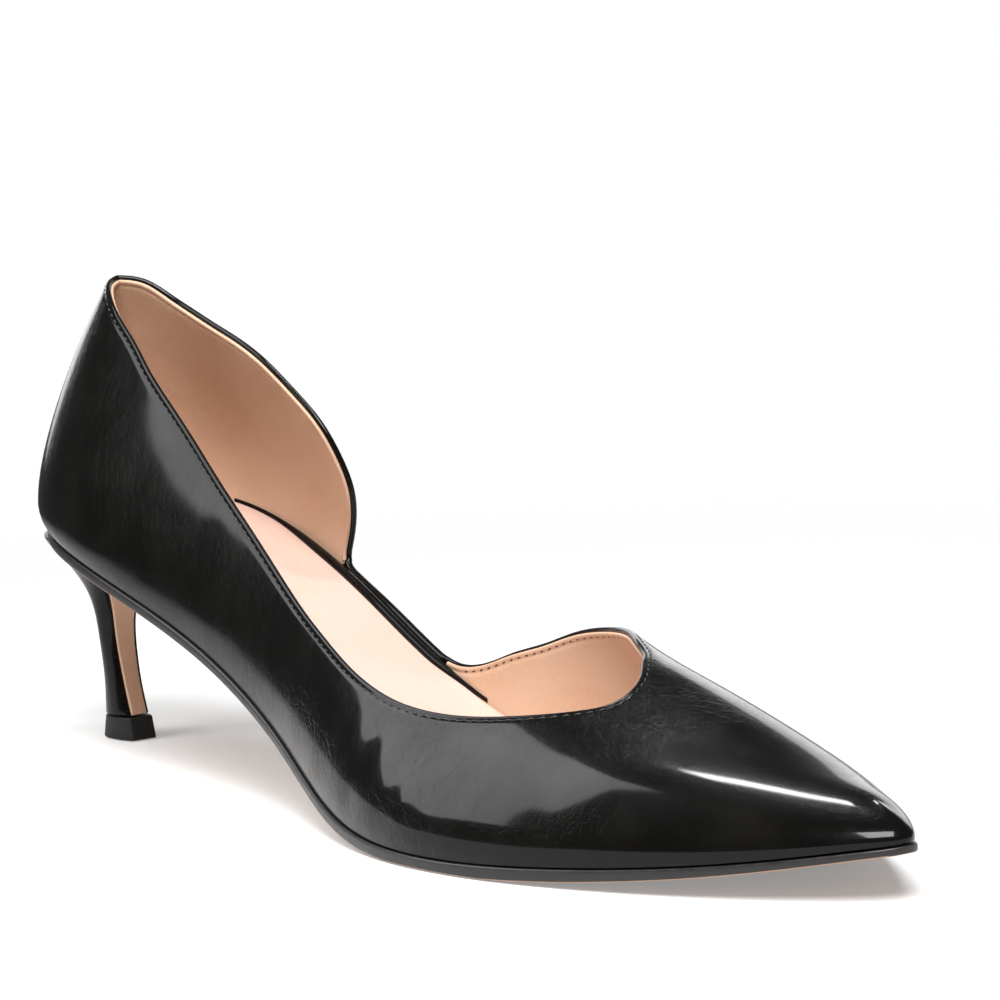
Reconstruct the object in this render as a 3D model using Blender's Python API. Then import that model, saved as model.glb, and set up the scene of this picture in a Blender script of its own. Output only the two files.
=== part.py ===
"""A dorsay pump for the right foot: a pointed, low-cut leather shoe on a slim flared heel.

The outer side runs unbroken from the heel to the toe and the inner side is cut away at the arch.
+X points to the toe, +Y to the inner side of the foot and +Z up. The origin is the centre of the
lift's face on the floor. The tables below are in millimetres and the meshes in metres.
"""
import bmesh
import bpy
import numpy as np

MM = 0.001
BACK = -12.5
TOE = 237.5
WALL = 1.8
GAP = 0.3
INSOLE_RISE = 3.0
INSOLE_TOE = 1.3
TOE_CLEAR = 0.4
SOLE_PROUD = 0.5
LIFT_TOP = 4.5

# Bottom edge of the last: station x, reach to the outer side, reach to the inner side, height
FEATHER = (
    (-12.5, 1.0, -1.0, 47.1),
    (-2.5, 15.4, 14.2, 45.6),
    (13.5, 24.0, 21.6, 43.4),
    (36.5, 25.5, 22.5, 37.2),
    (66.5, 25.0, 18.0, 27.5),
    (96.5, 28.5, 16.0, 14.7),
    (121.5, 35.5, 20.5, 5.3),
    (146.5, 40.2, 27.2, 2.4),
    (166.5, 39.2, 29.0, 2.5),
    (186.5, 34.0, 26.0, 3.5),
    (206.5, 26.0, 18.4, 5.2),
    (221.5, 18.0, 9.6, 7.1),
    (232.5, 10.4, 2.2, 8.8),
    (237.5, 3.5, -3.5, 9.7),
)

# Section above the bottom edge: station x, height where the two sides would meet, outward swell of
# each side, share of the height that each swell takes, share of the width kept at the top, forward
# lean, and y of the ridge
SECTION = (
    (-12.5, 107.0, 6.0, 6.0, 0.26, 0.26, 0.48, 0.16, -1.0),
    (-2.5, 101.5, 6.0, 5.5, 0.26, 0.26, 0.41, 0.19, -1.0),
    (13.5, 95.0, 5.5, 5.0, 0.26, 0.26, 0.33, 0.23, -1.0),
    (41.5, 86.0, 4.5, 4.5, 0.29, 0.29, 0.39, 0.19, -1.0),
    (81.5, 68.0, 4.5, 4.5, 0.37, 0.36, 0.53, 0.12, -1.0),
    (121.5, 51.0, 5.5, 3.5, 0.42, 0.38, 0.58, 0.05, 0.0),
    (151.5, 36.0, 5.0, 2.4, 0.44, 0.32, 0.50, 0.02, 1.0),
    (171.5, 30.0, 4.5, 2.0, 0.46, 0.32, 0.46, 0.0, 1.0),
    (191.5, 24.5, 4.0, 1.8, 0.48, 0.34, 0.46, 0.0, 0.5),
    (211.5, 19.1, 3.0, 1.6, 0.50, 0.40, 0.50, 0.0, -0.7),
    (226.5, 16.0, 1.8, 1.2, 0.50, 0.46, 0.54, 0.0, -2.2),
    (237.5, 15.4, 1.0, 1.0, 0.46, 0.46, 0.52, 0.0, -2.6),
)
FAN_BACK = 13.5
FAN_FRONT = 228.5
FAN_SOFT = 4.0
TOE_SLOPE = 0.22
RIDGE_SOFT = 0.04

# Top edge of the outer side from the centre back to the front of the throat: station x, how far up
# the section (0 bottom edge, 1 ridge, 2 bottom edge of the inner side), station of the foot below
TOP_OUTER = (
    (-12.5, 0.648, -12.5),
    (-8.0, 0.668, -8.5),
    (1.0, 0.678, -1.0),
    (14.3, 0.672, 10.0),
    (28.0, 0.618, 22.0),
    (38.4, 0.576, 32.0),
    (48.2, 0.540, 43.0),
    (63.8, 0.480, 60.0),
    (75.3, 0.444, 73.0),
    (86.8, 0.412, 86.0),
    (98.6, 0.393, 98.5),
    (109.1, 0.394, 109.5),
    (119.1, 0.400, 119.5),
    (128.6, 0.412, 129.5),
    (138.4, 0.436, 139.5),
    (147.6, 0.476, 148.5),
    (156.2, 0.530, 157.5),
    (163.7, 0.592, 165.0),
    (170.5, 0.670, 172.0),
    (173.6, 0.744, 177.0),
    (173.7, 0.790, 180.0),
)
# The same for the inner side: the rounded flap of the quarter, the low strip along the arch and
# the sweep of the vamp up to the throat
TOP_INNER = (
    (-12.5, 1.352, -12.5),
    (-9.0, 1.334, -9.0),
    (-0.8, 1.344, -1.0),
    (10.0, 1.341, 8.5),
    (21.5, 1.342, 17.5),
    (30.6, 1.369, 25.5),
    (38.7, 1.422, 32.5),
    (47.3, 1.483, 38.5),
    (51.8, 1.565, 42.0),
    (53.9, 1.651, 44.5),
    (53.4, 1.728, 46.5),
    (51.2, 1.839, 48.3),
    (50.6, 1.905, 50.4),
    (54.0, 1.922, 54.0),
    (62.0, 1.922, 62.0),
    (75.0, 1.920, 75.0),
    (85.0, 1.922, 85.0),
    (90.5, 1.915, 90.5),
    (97.3, 1.863, 96.5),
    (105.7, 1.761, 105.0),
    (114.3, 1.666, 114.0),
    (122.6, 1.565, 122.5),
    (134.5, 1.425, 134.5),
    (146.5, 1.265, 147.5),
    (155.8, 1.137, 159.0),
    (162.6, 1.056, 168.5),
    (165.5, 1.000, 173.0),
    (168.7, 0.943, 178.0),
    (173.0, 0.829, 184.5),
    (173.7, 0.790, 187.5),
)
# Line over the vamp from the throat to the toe where the two sides' meshes join
VAMP_LINE = (
    (173.7, 0.790, 180.0, 187.5),
    (186.0, 0.850, 191.0, 197.0),
    (202.0, 0.930, 205.0, 209.0),
    (220.0, 0.985, 221.0, 223.0),
    (232.0, 1.000, 232.3, 232.8),
    (237.5, 1.000, 237.5, 237.5),
)

# Sole thickness by station
SOLE = (
    (-12.5, 2.0),
    (96.5, 2.0),
    (131.5, 2.1),
    (166.5, 2.3),
    (186.5, 2.2),
    (206.5, 1.9),
    (226.5, 1.5),
    (237.5, 1.3),
)

# Heel sections: share of the height to the seat, back x, breast x, half width of the breast, half
# width at the widest
HEEL = (
    (0.00, -5.2, 4.1, 2.5, 3.7),
    (0.14, -4.9, 2.4, 2.5, 3.5),
    (0.27, -4.9, 1.2, 2.6, 3.6),
    (0.40, -5.2, 0.4, 2.8, 3.9),
    (0.55, -5.9, 0.4, 3.3, 4.6),
    (0.67, -7.2, 1.5, 4.8, 6.3),
    (0.78, -8.9, 4.0, 7.9, 9.5),
    (0.88, -10.2, 8.4, 12.2, 13.8),
    (0.95, -10.8, 13.4, 16.2, 17.6),
    (1.00, -11.0, 18.0, 18.8, 20.2),
)
COVER = 0.8
# Lift outline: back x, front x, half width of the front, half width at the widest
LIFT_FOOT = (-6.2, 6.2, 2.7, 4.2)
LIFT_HEAD = (-5.3, 5.2, 2.6, 3.8)

COLUMNS_OUTER = 38
COLUMNS_INNER = 62
COLUMNS_VAMP = 18
ROWS = 10
SOLE_STATIONS = 56
SOLE_ACROSS = 4


def spline(knots, values):
    """Natural cubic spline through the knots, as a function of the station."""
    knots = np.asarray(knots, float)
    values = np.asarray(values, float)
    step = np.diff(knots)
    count = len(knots)
    matrix = np.eye(count)
    right = np.zeros(count)
    for i in range(1, count - 1):
        matrix[i, i - 1:i + 2] = step[i - 1], 2 * (step[i - 1] + step[i]), step[i]
        right[i] = 6 * ((values[i + 1] - values[i]) / step[i] - (values[i] - values[i - 1]) / step[i - 1])
    bend = np.linalg.solve(matrix, right)

    def at(where):
        where = np.asarray(where, float)
        i = np.clip(np.searchsorted(knots, where) - 1, 0, count - 2)
        low = where - knots[i]
        high = knots[i + 1] - where
        h = step[i]
        curve = (bend[i] * high ** 3 + bend[i + 1] * low ** 3) / (6 * h)
        return curve + (values[i] / h - bend[i] * h / 6) * high + (values[i + 1] / h - bend[i + 1] * h / 6) * low

    return at


def turn_of(x):
    """Station x as a turn between 0 at the back and 1 at the toe, so that both ends come out round."""
    share = (np.asarray(x, float) - BACK) / (TOE - BACK)
    return np.arccos(np.clip(1 - 2 * share, -1, 1)) / np.pi


def x_of(turn):
    return BACK + (TOE - BACK) * (1 - np.cos(np.pi * np.asarray(turn, float))) / 2


def table(rows):
    rows = np.array(rows, float)
    turns = turn_of(rows[:, 0])
    return [spline(turns, rows[:, k]) for k in range(1, rows.shape[1])]


REACH_OUTER, REACH_INNER, FEATHER_Z = table(FEATHER)
SECTION_AT = table(SECTION)


def soft_ramp(x):
    return FAN_SOFT * np.logaddexp(0, x / FAN_SOFT)


def last_point(turn, rise):
    """Point of the upper's outer face. rise runs 0..1 up the outer side and 1..2 down the inner."""
    turn = np.asarray(turn, float)
    rise = np.asarray(rise, float)
    inner = rise > 1
    u = np.where(inner, 2 - rise, rise)
    x = x_of(turn)
    outer_y = -REACH_OUTER(turn)
    inner_y = REACH_INNER(turn)
    ridge_z, swell_out, swell_in, low_out, low_in, keep, lean, ridge_y = (f(turn) for f in SECTION_AT)
    y = np.where(inner, inner_y, outer_y)
    swell = np.where(inner, swell_in, swell_out)
    low = np.where(inner, low_in, low_out)
    foot_z = FEATHER_Z(turn)
    axis = FAN_BACK + soft_ramp(x - FAN_BACK) - soft_ramp(x - FAN_FRONT)
    dx = x - axis
    dy = y - ridge_y
    reach = np.hypot(dx, dy) + 1e-9
    mean = (np.hypot(dx, outer_y - ridge_y) + np.hypot(dx, inner_y - ridge_y)) / 2
    height = ridge_z - foot_z
    b0 = (1 - u) ** 3
    b1 = 3 * u * (1 - u) ** 2
    b2 = 3 * u * u * (1 - u)
    b3 = u ** 3
    out = b0 * reach + b1 * (reach + swell) + b2 * keep * mean
    tilt = TOE_SLOPE * np.clip(dx / reach, 0, 1) * keep * mean
    up = (b1 * low + b2 + b3) * height - b2 * tilt
    point = (axis + dx / reach * out + lean * up, ridge_y + dy / reach * out, foot_z + up)
    return np.stack(np.broadcast_arrays(*point), -1)


def side_normal(turn, rise):
    """Outward unit normal of last_point away from the ridge."""
    turn = np.clip(np.asarray(turn, float), 0.0008, 0.9992)
    rise = np.clip(np.asarray(rise, float), 0.0008, 1.9992)
    step = 0.0006
    along = last_point(turn + step, rise) - last_point(turn - step, rise)
    around = last_point(turn, rise + step) - last_point(turn, rise - step)
    normal = np.cross(along, around)
    return normal / np.linalg.norm(normal, axis=-1, keepdims=True)


def last_normal(turn, rise):
    """Outward unit normal of last_point. Across the ridge it turns from one side's to the other's."""
    rise = np.asarray(rise, float)
    share = np.clip((rise - 1) / (2 * RIDGE_SOFT) + 0.5, 0, 1)[..., None]
    outer = side_normal(turn, np.minimum(rise, 1 - RIDGE_SOFT))
    inner = side_normal(turn, np.maximum(rise, 1 + RIDGE_SOFT))
    normal = outer * (1 - share) + inner * share
    return normal / np.linalg.norm(normal, axis=-1, keepdims=True)


def wall_point(turn, rise, depth):
    """Point at a depth inside the outer face. At the bottom edge the depth is taken level."""
    turn = np.asarray(turn, float)
    rise = np.asarray(rise, float)
    end = np.clip(1 - np.minimum(turn, 1 - turn) / 0.001, 0, 1)[..., None]
    normal = last_normal(turn, rise) * (1 - end / 2) + last_normal(turn, 2 - rise) * end / 2
    low = np.clip(np.minimum(rise, 2 - rise) / 0.03, 0, 1)[..., None]
    level = normal * np.array((1.0, 1.0, 0.0))
    level /= np.linalg.norm(level, axis=-1, keepdims=True) + 1e-9
    mixed = normal * low + level * (1 - low)
    mixed /= np.linalg.norm(mixed, axis=-1, keepdims=True)
    return last_point(turn, rise) - np.asarray(depth, float)[..., None] * mixed


def path(knots, count, foot_rise, turn_weight=250.0, curved=True):
    """Rows of (top turn, rise, foot turn...) along a table of top-edge knots, closer at the round ends."""
    knots = np.array(knots, float)
    knots[:, 0] = turn_of(knots[:, 0])
    knots[:, 2:] = turn_of(knots[:, 2:])
    edge = last_point(knots[:, 0], knots[:, 1])
    run = np.concatenate(([0], np.cumsum(np.linalg.norm(np.diff(edge, axis=0), axis=1))))
    fine = np.linspace(0, run[-1], 40 * count + 1)
    dense = np.stack([np.interp(fine, run, knots[:, k]) for k in range(knots.shape[1])], 1)
    if curved:
        dense[:, :2] = np.stack([spline(run, knots[:, k])(fine) for k in (0, 1)], 1)
    edge = last_point(dense[:, 0], dense[:, 1])
    foot = last_point(dense[:, 2], np.full(len(dense), foot_rise))
    step = np.linalg.norm(np.diff(edge, axis=0), axis=1) + np.linalg.norm(np.diff(foot, axis=0), axis=1) / 2
    step += turn_weight * np.abs(np.diff(dense[:, 2]))
    real = np.concatenate(([0], np.cumsum(step)))
    even = np.linspace(0, real[-1], count + 1)
    rows = np.stack([np.interp(even, real, dense[:, k]) for k in range(dense.shape[1])], 1)
    rows[0] = knots[0]
    rows[-1] = knots[-1]
    rows[:, 0] = np.clip(rows[:, 0], 0, 1)
    rows[:, 2:] = np.clip(rows[:, 2:], 0, 1)
    return rows


def column(top_turn, top_rise, foot_turn, foot_rise, share):
    """(turn, rise) at a share of the way from the bottom edge to the top edge."""
    return foot_turn + (top_turn - foot_turn) * share, foot_rise + (top_rise - foot_rise) * share


def material(name, colour, roughness, metallic=0.0):
    made = bpy.data.materials.new(name)
    made.use_nodes = True
    shader = made.node_tree.nodes["Principled BSDF"]
    shader.inputs["Base Color"].default_value = (*colour, 1.0)
    shader.inputs["Roughness"].default_value = roughness
    shader.inputs["Metallic"].default_value = metallic
    return made


def add_piece(name, points, faces, look):
    """One named object from points in millimetres, welded and with its faces turned outward."""
    mesh = bpy.data.meshes.new(name)
    mesh.from_pydata([tuple(float(v) * MM for v in p) for p in points], [], faces)
    body = bmesh.new()
    body.from_mesh(mesh)
    bmesh.ops.remove_doubles(body, verts=body.verts, dist=0.00001)
    bmesh.ops.dissolve_degenerate(body, edges=body.edges, dist=0.00001)
    bmesh.ops.recalc_face_normals(body, faces=body.faces)
    bmesh.ops.triangulate(body, faces=body.faces)
    body.to_mesh(mesh)
    body.free()
    mesh.materials.append(look)
    mesh.shade_smooth()
    mesh.set_sharp_from_angle(angle=0.7)
    piece = bpy.data.objects.new(name, mesh)
    bpy.context.collection.objects.link(piece)
    return piece


def grid_faces(first, wide, tall, flip=False):
    """Quads of a grid whose points run tall by column from the index first."""
    faces = []
    for i in range(wide - 1):
        for j in range(tall - 1):
            a = first + i * tall + j
            quad = (a, a + tall, a + tall + 1, a + 1)
            faces.append(quad[::-1] if flip else quad)
    return faces


def make_upper(look):
    """Hollow skin: an outer and an inner face, joined round the top edge and round the bottom."""
    outer_top = path(TOP_OUTER, COLUMNS_OUTER, 0.0)
    inner_top = path(TOP_INNER, COLUMNS_INNER, 2.0)
    vamp = path(VAMP_LINE, COLUMNS_VAMP, 0.0, 1500.0, False)
    share = np.linspace(0, 1, ROWS + 1)
    points = []
    faces = []
    sides = (
        (0.0, outer_top, vamp[:, (0, 1, 2)]),
        (2.0, inner_top, vamp[:, (0, 1, 3)]),
    )
    for foot_rise, top, seam in sides:
        rows = np.concatenate((top, seam[1:]))
        turn, rise = column(rows[:, 0:1], rows[:, 1:2], rows[:, 2:3], foot_rise, share[None, :])
        skin = [wall_point(turn, rise, 0.0), wall_point(turn, rise, WALL)]
        skin[1][:, 0, 2] = skin[0][:, 0, 2]
        wide, tall = turn.shape
        first = [len(points), len(points) + wide * tall]
        for face in skin:
            points.extend(face.reshape(-1, 3))
        faces += grid_faces(first[0], wide, tall)
        faces += grid_faces(first[1], wide, tall, True)
        for i in range(wide - 1):
            a = first[0] + i * tall
            b = first[1] + i * tall
            faces.append((a, b, b + tall, a + tall))
            if i < len(top) - 1:
                a += tall - 1
                b += tall - 1
                faces.append((a, a + tall, b + tall, b))
    return add_piece("upper", points, faces, look)


def edge_line(depth, above=None):
    """Outer and inner edge points by station, inside the upper's outer face, above the bottom edge."""
    turn = np.linspace(0, 1, SOLE_STATIONS + 1)
    edges = []
    for side in (0.0, 2.0):
        u = np.zeros_like(turn)
        if above is not None:
            climb = np.linspace(0, 0.5, 101)
            for i, t in enumerate(turn):
                height = last_point(np.full_like(climb, t), np.abs(side - climb))[:, 2] - FEATHER_Z(t)
                u[i] = np.interp(above[i], height, climb)
        edges.append(wall_point(turn, np.abs(side - u), depth))
    return turn, edges[0], edges[1]


def insole_rise(turn):
    """Thickness of the insole by station; it thins towards the toe."""
    return INSOLE_RISE - (INSOLE_RISE - INSOLE_TOE) * np.clip(1 - (TOE - x_of(turn)) / 35.0, 0, 1)


def make_plate(name, lower, upper_face, look):
    """Closed plate between two rows of edge points, each a pair of outer and inner edges."""
    points = []
    faces = []
    across = np.linspace(0, 1, SOLE_ACROSS + 1)
    wide = len(lower[0])
    for outer, inner in (lower, upper_face):
        for a, b in zip(outer, inner):
            points.extend(a + (b - a) * s for s in across)
    tall = SOLE_ACROSS + 1
    faces += grid_faces(0, wide, tall, True)
    faces += grid_faces(wide * tall, wide, tall)
    for i in range(wide - 1):
        for j in (0, tall - 1):
            a = i * tall + j
            b = a + wide * tall
            faces.append((a, b, b + tall, a + tall))
    return add_piece(name, points, faces, look)


def sole_thickness(x):
    rows = np.array(SOLE, float)
    return np.interp(x, rows[:, 0], rows[:, 1])


def sole_under(x):
    """Height of the sole's underside over station x; the tread at the ball is flat on the floor."""
    x = np.asarray(x, float)
    return np.maximum(FEATHER_Z(turn_of(np.clip(x, BACK, TOE))) - GAP - sole_thickness(x), 0.0)


def make_outsole(look):
    proud = SOLE_PROUD * np.clip((x_of(np.linspace(0, 1, SOLE_STATIONS + 1)) - BACK) / 70.0, 0, 1)
    turn, outer, inner = edge_line(-proud)
    rims = []
    for edge in (outer, inner):
        top = edge.copy()
        top[:, 2] = FEATHER_Z(turn) - GAP
        low = edge.copy()
        low[:, 2] = sole_under(x_of(turn))
        rims.append((low, top))
    return make_plate("outsole", (rims[0][0], rims[1][0]), (rims[0][1], rims[1][1]), look)


def make_insole(look):
    turn = np.linspace(0, 1, SOLE_STATIONS + 1)
    depth = WALL + GAP + TOE_CLEAR * np.clip(1 - (TOE - x_of(turn)) / 15.0, 0, 1)
    low = edge_line(depth)
    top = edge_line(depth, insole_rise(turn))
    for edge in low[1:]:
        edge[:, 2] = FEATHER_Z(turn)
    for edge in top[1:]:
        edge[:, 2] = FEATHER_Z(turn) + insole_rise(turn)
    return make_plate("insole", low[1:], top[1:], look)


def d_section(back, front, half_front, half_wide, steps=9, flat=4):
    """Plan outline of a D: flat front, round sides and back, as (x, y) from the outer front corner."""
    depth = front - back
    hull = np.array((
        (front, half_front),
        (front - 0.30 * depth, half_wide * 1.16),
        (back, half_wide * 1.08),
        (back, 0.0),
    ))
    s = np.linspace(0, 1, steps + 1)[:, None]
    side = (1 - s) ** 3 * hull[0] + 3 * s * (1 - s) ** 2 * hull[1] + 3 * s * s * (1 - s) * hull[2] + s ** 3 * hull[3]
    outer = side * (1, -1)
    inner = side[::-1][1:]
    breast = np.linspace(inner[-1], outer[0], flat + 1)[1:-1]
    return np.concatenate((outer, inner, breast))


def loft(name, rings, look):
    """Closed solid through rings of equally many points, capped at both ends."""
    count = len(rings[0])
    points = [p for ring in rings for p in ring]
    faces = []
    for i in range(len(rings) - 1):
        for j in range(count):
            a = i * count + j
            b = i * count + (j + 1) % count
            faces.append((a, b, b + count, a + count))
    faces.append(tuple(range(count))[::-1])
    last = (len(rings) - 1) * count
    faces.append(tuple(range(last, last + count)))
    return add_piece(name, points, faces, look)


def heel_row(v):
    rows = np.array(HEEL, float)
    return [float(spline(rows[:, 0], rows[:, k])(v)) for k in range(1, 5)]


def heel_height(v, x):
    low = LIFT_TOP + GAP
    return low + v * (sole_under(x) - GAP - low)


def make_heel(look):
    """Heel loft from the lift to the seat. Its top follows the slope of the sole above."""
    rings = []
    for v in np.concatenate((np.linspace(0, 0.6, 7), np.linspace(0.67, 1.0, 8))):
        plan = d_section(*heel_row(v))
        rings.append([(x, y, float(heel_height(v, x))) for x, y in plan])
    return loft("heel", rings, look)


def make_breast_cover(look):
    """Thin strip that lies on the flat front of the heel, from the lift up to the sole."""
    shares = np.concatenate((np.linspace(0, 0.6, 7), np.linspace(0.67, 1.0, 8)))
    line = np.array([(heel_row(v)[1], float(heel_height(v, heel_row(v)[1]))) for v in shares])
    tangent = np.gradient(line, axis=0)
    tangent /= np.linalg.norm(tangent, axis=1)[:, None]
    normal = np.stack((tangent[:, 1], -tangent[:, 0]), 1)
    rings = []
    for k, v in enumerate(shares):
        half = heel_row(v)[2]
        near = line[k] + normal[k] * GAP
        far = line[k] + normal[k] * (GAP + COVER)
        ring = [(near[0], y, near[1]) for y in np.linspace(-half, half, 5)]
        ring += [(far[0], y, far[1]) for y in np.linspace(half * 0.94, -half * 0.94, 5)]
        rings.append(ring)
    return loft("breast_cover", rings, look)


def make_top_lift(look):
    rings = []
    for z, plan in ((0.0, LIFT_FOOT), (LIFT_TOP, LIFT_HEAD)):
        rings.append([(x, y, z) for x, y in d_section(*plan)])
    return loft("top_lift", rings, look)


def main():
    for thing in list(bpy.data.objects):
        bpy.data.objects.remove(thing, do_unlink=True)
    black = material("black_leather", (0.012, 0.012, 0.013), 0.28)
    sock = material("beige_sock", (0.62, 0.42, 0.34), 0.6)
    sole = material("black_sole_edge", (0.015, 0.014, 0.014), 0.4)
    nude = material("nude_cover", (0.60, 0.36, 0.24), 0.5)
    lift = material("black_lift", (0.012, 0.012, 0.012), 0.5)
    make_upper(black)
    make_insole(sock)
    make_outsole(sole)
    make_heel(black)
    make_breast_cover(nude)
    make_top_lift(lift)


main()
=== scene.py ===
"""A dorsay pump for the right foot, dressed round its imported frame.

The lasted leather, its folded top edge, the lining, the stitches, the sock, the sole and the heel
are made from the same last as the frame's solids. Tables are in millimetres and meshes in metres.
+X points to the toe, +Y to the inner side of the foot and +Z up.
"""

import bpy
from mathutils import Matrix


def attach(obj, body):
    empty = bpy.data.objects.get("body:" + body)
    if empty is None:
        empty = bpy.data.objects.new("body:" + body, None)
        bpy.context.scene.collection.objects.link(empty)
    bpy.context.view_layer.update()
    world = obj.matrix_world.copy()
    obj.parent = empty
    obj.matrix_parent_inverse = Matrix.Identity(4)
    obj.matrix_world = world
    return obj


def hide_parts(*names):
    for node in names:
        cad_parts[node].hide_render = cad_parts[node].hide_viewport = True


bl_info = {
    "name": "Dorsay Pump",
    "version": (1, 0, 0),
    "blender": (4, 5, 0),
    "location": "View3D > Sidebar > Pump",
    "description": "Makes a pointed pump that is cut away at the arch",
    "category": "Add Mesh",
}

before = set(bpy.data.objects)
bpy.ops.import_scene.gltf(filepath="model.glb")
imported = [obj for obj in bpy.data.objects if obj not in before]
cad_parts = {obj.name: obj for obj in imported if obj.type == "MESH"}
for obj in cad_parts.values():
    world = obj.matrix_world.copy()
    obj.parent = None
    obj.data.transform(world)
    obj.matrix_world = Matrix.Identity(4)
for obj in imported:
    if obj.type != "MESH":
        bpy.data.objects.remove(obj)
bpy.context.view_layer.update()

import math

import bpy
import numpy as np
from mathutils import Matrix, Quaternion, Vector

MM = 0.001
BACK = -12.5
TOE = 237.5
WALL = 1.8
GAP = 0.3
INSOLE_RISE = 3.0
INSOLE_TOE = 1.3
TOE_CLEAR = 0.4
SOLE_PROUD = 0.5
LIFT_TOP = 4.5
SOCK_ROUND = 0.8

# The leather is drawn in at the seat: depth, share of the section it takes, and length from the back
SEAT_TUCK = 1.4
SEAT_TUCK_RISE = 0.10
SEAT_TUCK_LENGTH = 80.0

# Bottom edge of the last: station x, reach to the outer side, reach to the inner side, height
FEATHER = (
    (-12.5, 1.0, -1.0, 47.1),
    (-2.5, 15.4, 14.2, 45.6),
    (13.5, 24.0, 21.6, 43.4),
    (36.5, 25.5, 22.5, 37.2),
    (66.5, 25.0, 18.0, 27.5),
    (96.5, 28.5, 16.0, 14.7),
    (121.5, 35.5, 20.5, 5.3),
    (146.5, 40.2, 27.2, 2.4),
    (166.5, 39.2, 29.0, 2.5),
    (186.5, 34.0, 26.0, 3.5),
    (206.5, 26.0, 18.4, 5.2),
    (221.5, 18.0, 9.6, 7.1),
    (232.5, 10.4, 2.2, 8.8),
    (237.5, 3.5, -3.5, 9.7),
)

# Section above the bottom edge: station x, height where the two sides would meet, outward swell of
# each side, share of the height that each swell takes, share of the width kept at the top, forward
# lean, and y of the ridge
SECTION = (
    (-12.5, 107.0, 6.0, 6.0, 0.26, 0.26, 0.48, 0.16, -1.0),
    (-2.5, 101.5, 6.0, 5.5, 0.26, 0.26, 0.41, 0.19, -1.0),
    (13.5, 95.0, 5.5, 5.0, 0.26, 0.26, 0.33, 0.23, -1.0),
    (41.5, 86.0, 4.5, 4.5, 0.29, 0.29, 0.39, 0.19, -1.0),
    (81.5, 68.0, 4.5, 4.5, 0.37, 0.36, 0.53, 0.12, -1.0),
    (121.5, 51.0, 5.5, 3.5, 0.42, 0.38, 0.58, 0.05, 0.0),
    (151.5, 36.0, 5.0, 2.4, 0.44, 0.32, 0.50, 0.02, 1.0),
    (171.5, 30.0, 4.5, 2.0, 0.46, 0.32, 0.46, 0.0, 1.0),
    (191.5, 24.5, 4.0, 1.8, 0.48, 0.34, 0.46, 0.0, 0.5),
    (211.5, 19.1, 3.0, 1.6, 0.50, 0.40, 0.50, 0.0, -0.7),
    (226.5, 16.0, 1.8, 1.2, 0.50, 0.46, 0.54, 0.0, -2.2),
    (237.5, 15.4, 1.0, 1.0, 0.46, 0.46, 0.52, 0.0, -2.6),
)
FAN_BACK = 13.5
FAN_FRONT = 228.5
FAN_SOFT = 4.0
TOE_SLOPE = 0.22
RIDGE_SOFT = 0.04

# Top edge of the outer side from the centre back to the front of the throat: station x, how far up
# the section (0 bottom edge, 1 ridge, 2 bottom edge of the inner side), station of the foot below
TOP_OUTER = (
    (-12.5, 0.648, -12.5),
    (-8.0, 0.668, -8.5),
    (1.0, 0.678, -1.0),
    (14.3, 0.672, 10.0),
    (28.0, 0.618, 22.0),
    (38.4, 0.576, 32.0),
    (48.2, 0.540, 43.0),
    (63.8, 0.480, 60.0),
    (75.3, 0.444, 73.0),
    (86.8, 0.412, 86.0),
    (98.6, 0.393, 98.5),
    (109.1, 0.394, 109.5),
    (119.1, 0.400, 119.5),
    (128.6, 0.412, 129.5),
    (138.4, 0.436, 139.5),
    (147.6, 0.476, 148.5),
    (156.2, 0.530, 157.5),
    (163.7, 0.592, 165.0),
    (170.5, 0.670, 172.0),
    (173.6, 0.744, 177.0),
    (173.7, 0.790, 180.0),
)
# The same for the inner side: the rounded flap of the quarter, the low strip along the arch and
# the sweep of the vamp up to the throat
TOP_INNER = (
    (-12.5, 1.352, -12.5),
    (-9.0, 1.334, -9.0),
    (-0.8, 1.344, -1.0),
    (10.0, 1.341, 8.5),
    (21.5, 1.342, 17.5),
    (30.6, 1.369, 25.5),
    (38.7, 1.422, 32.5),
    (47.3, 1.483, 38.5),
    (51.8, 1.565, 42.0),
    (53.9, 1.651, 44.5),
    (53.4, 1.728, 46.5),
    (51.2, 1.839, 48.3),
    (50.6, 1.905, 50.4),
    (54.0, 1.922, 54.0),
    (62.0, 1.922, 62.0),
    (75.0, 1.920, 75.0),
    (85.0, 1.922, 85.0),
    (90.5, 1.915, 90.5),
    (97.3, 1.863, 96.5),
    (105.7, 1.761, 105.0),
    (114.3, 1.666, 114.0),
    (122.6, 1.565, 122.5),
    (134.5, 1.425, 134.5),
    (146.5, 1.265, 147.5),
    (155.8, 1.137, 159.0),
    (162.6, 1.056, 168.5),
    (165.5, 1.000, 173.0),
    (168.7, 0.943, 178.0),
    (173.0, 0.829, 184.5),
    (173.7, 0.790, 187.5),
)
# Line over the vamp from the throat to the toe where the two sides' meshes join
VAMP_LINE = (
    (173.7, 0.790, 180.0, 187.5),
    (186.0, 0.850, 191.0, 197.0),
    (202.0, 0.930, 205.0, 209.0),
    (220.0, 0.985, 221.0, 223.0),
    (232.0, 1.000, 232.3, 232.8),
    (237.5, 1.000, 237.5, 237.5),
)

# Sole thickness by station
SOLE = (
    (-12.5, 2.0),
    (96.5, 2.0),
    (131.5, 2.1),
    (166.5, 2.3),
    (186.5, 2.2),
    (206.5, 1.9),
    (226.5, 1.5),
    (237.5, 1.3),
)

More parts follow.
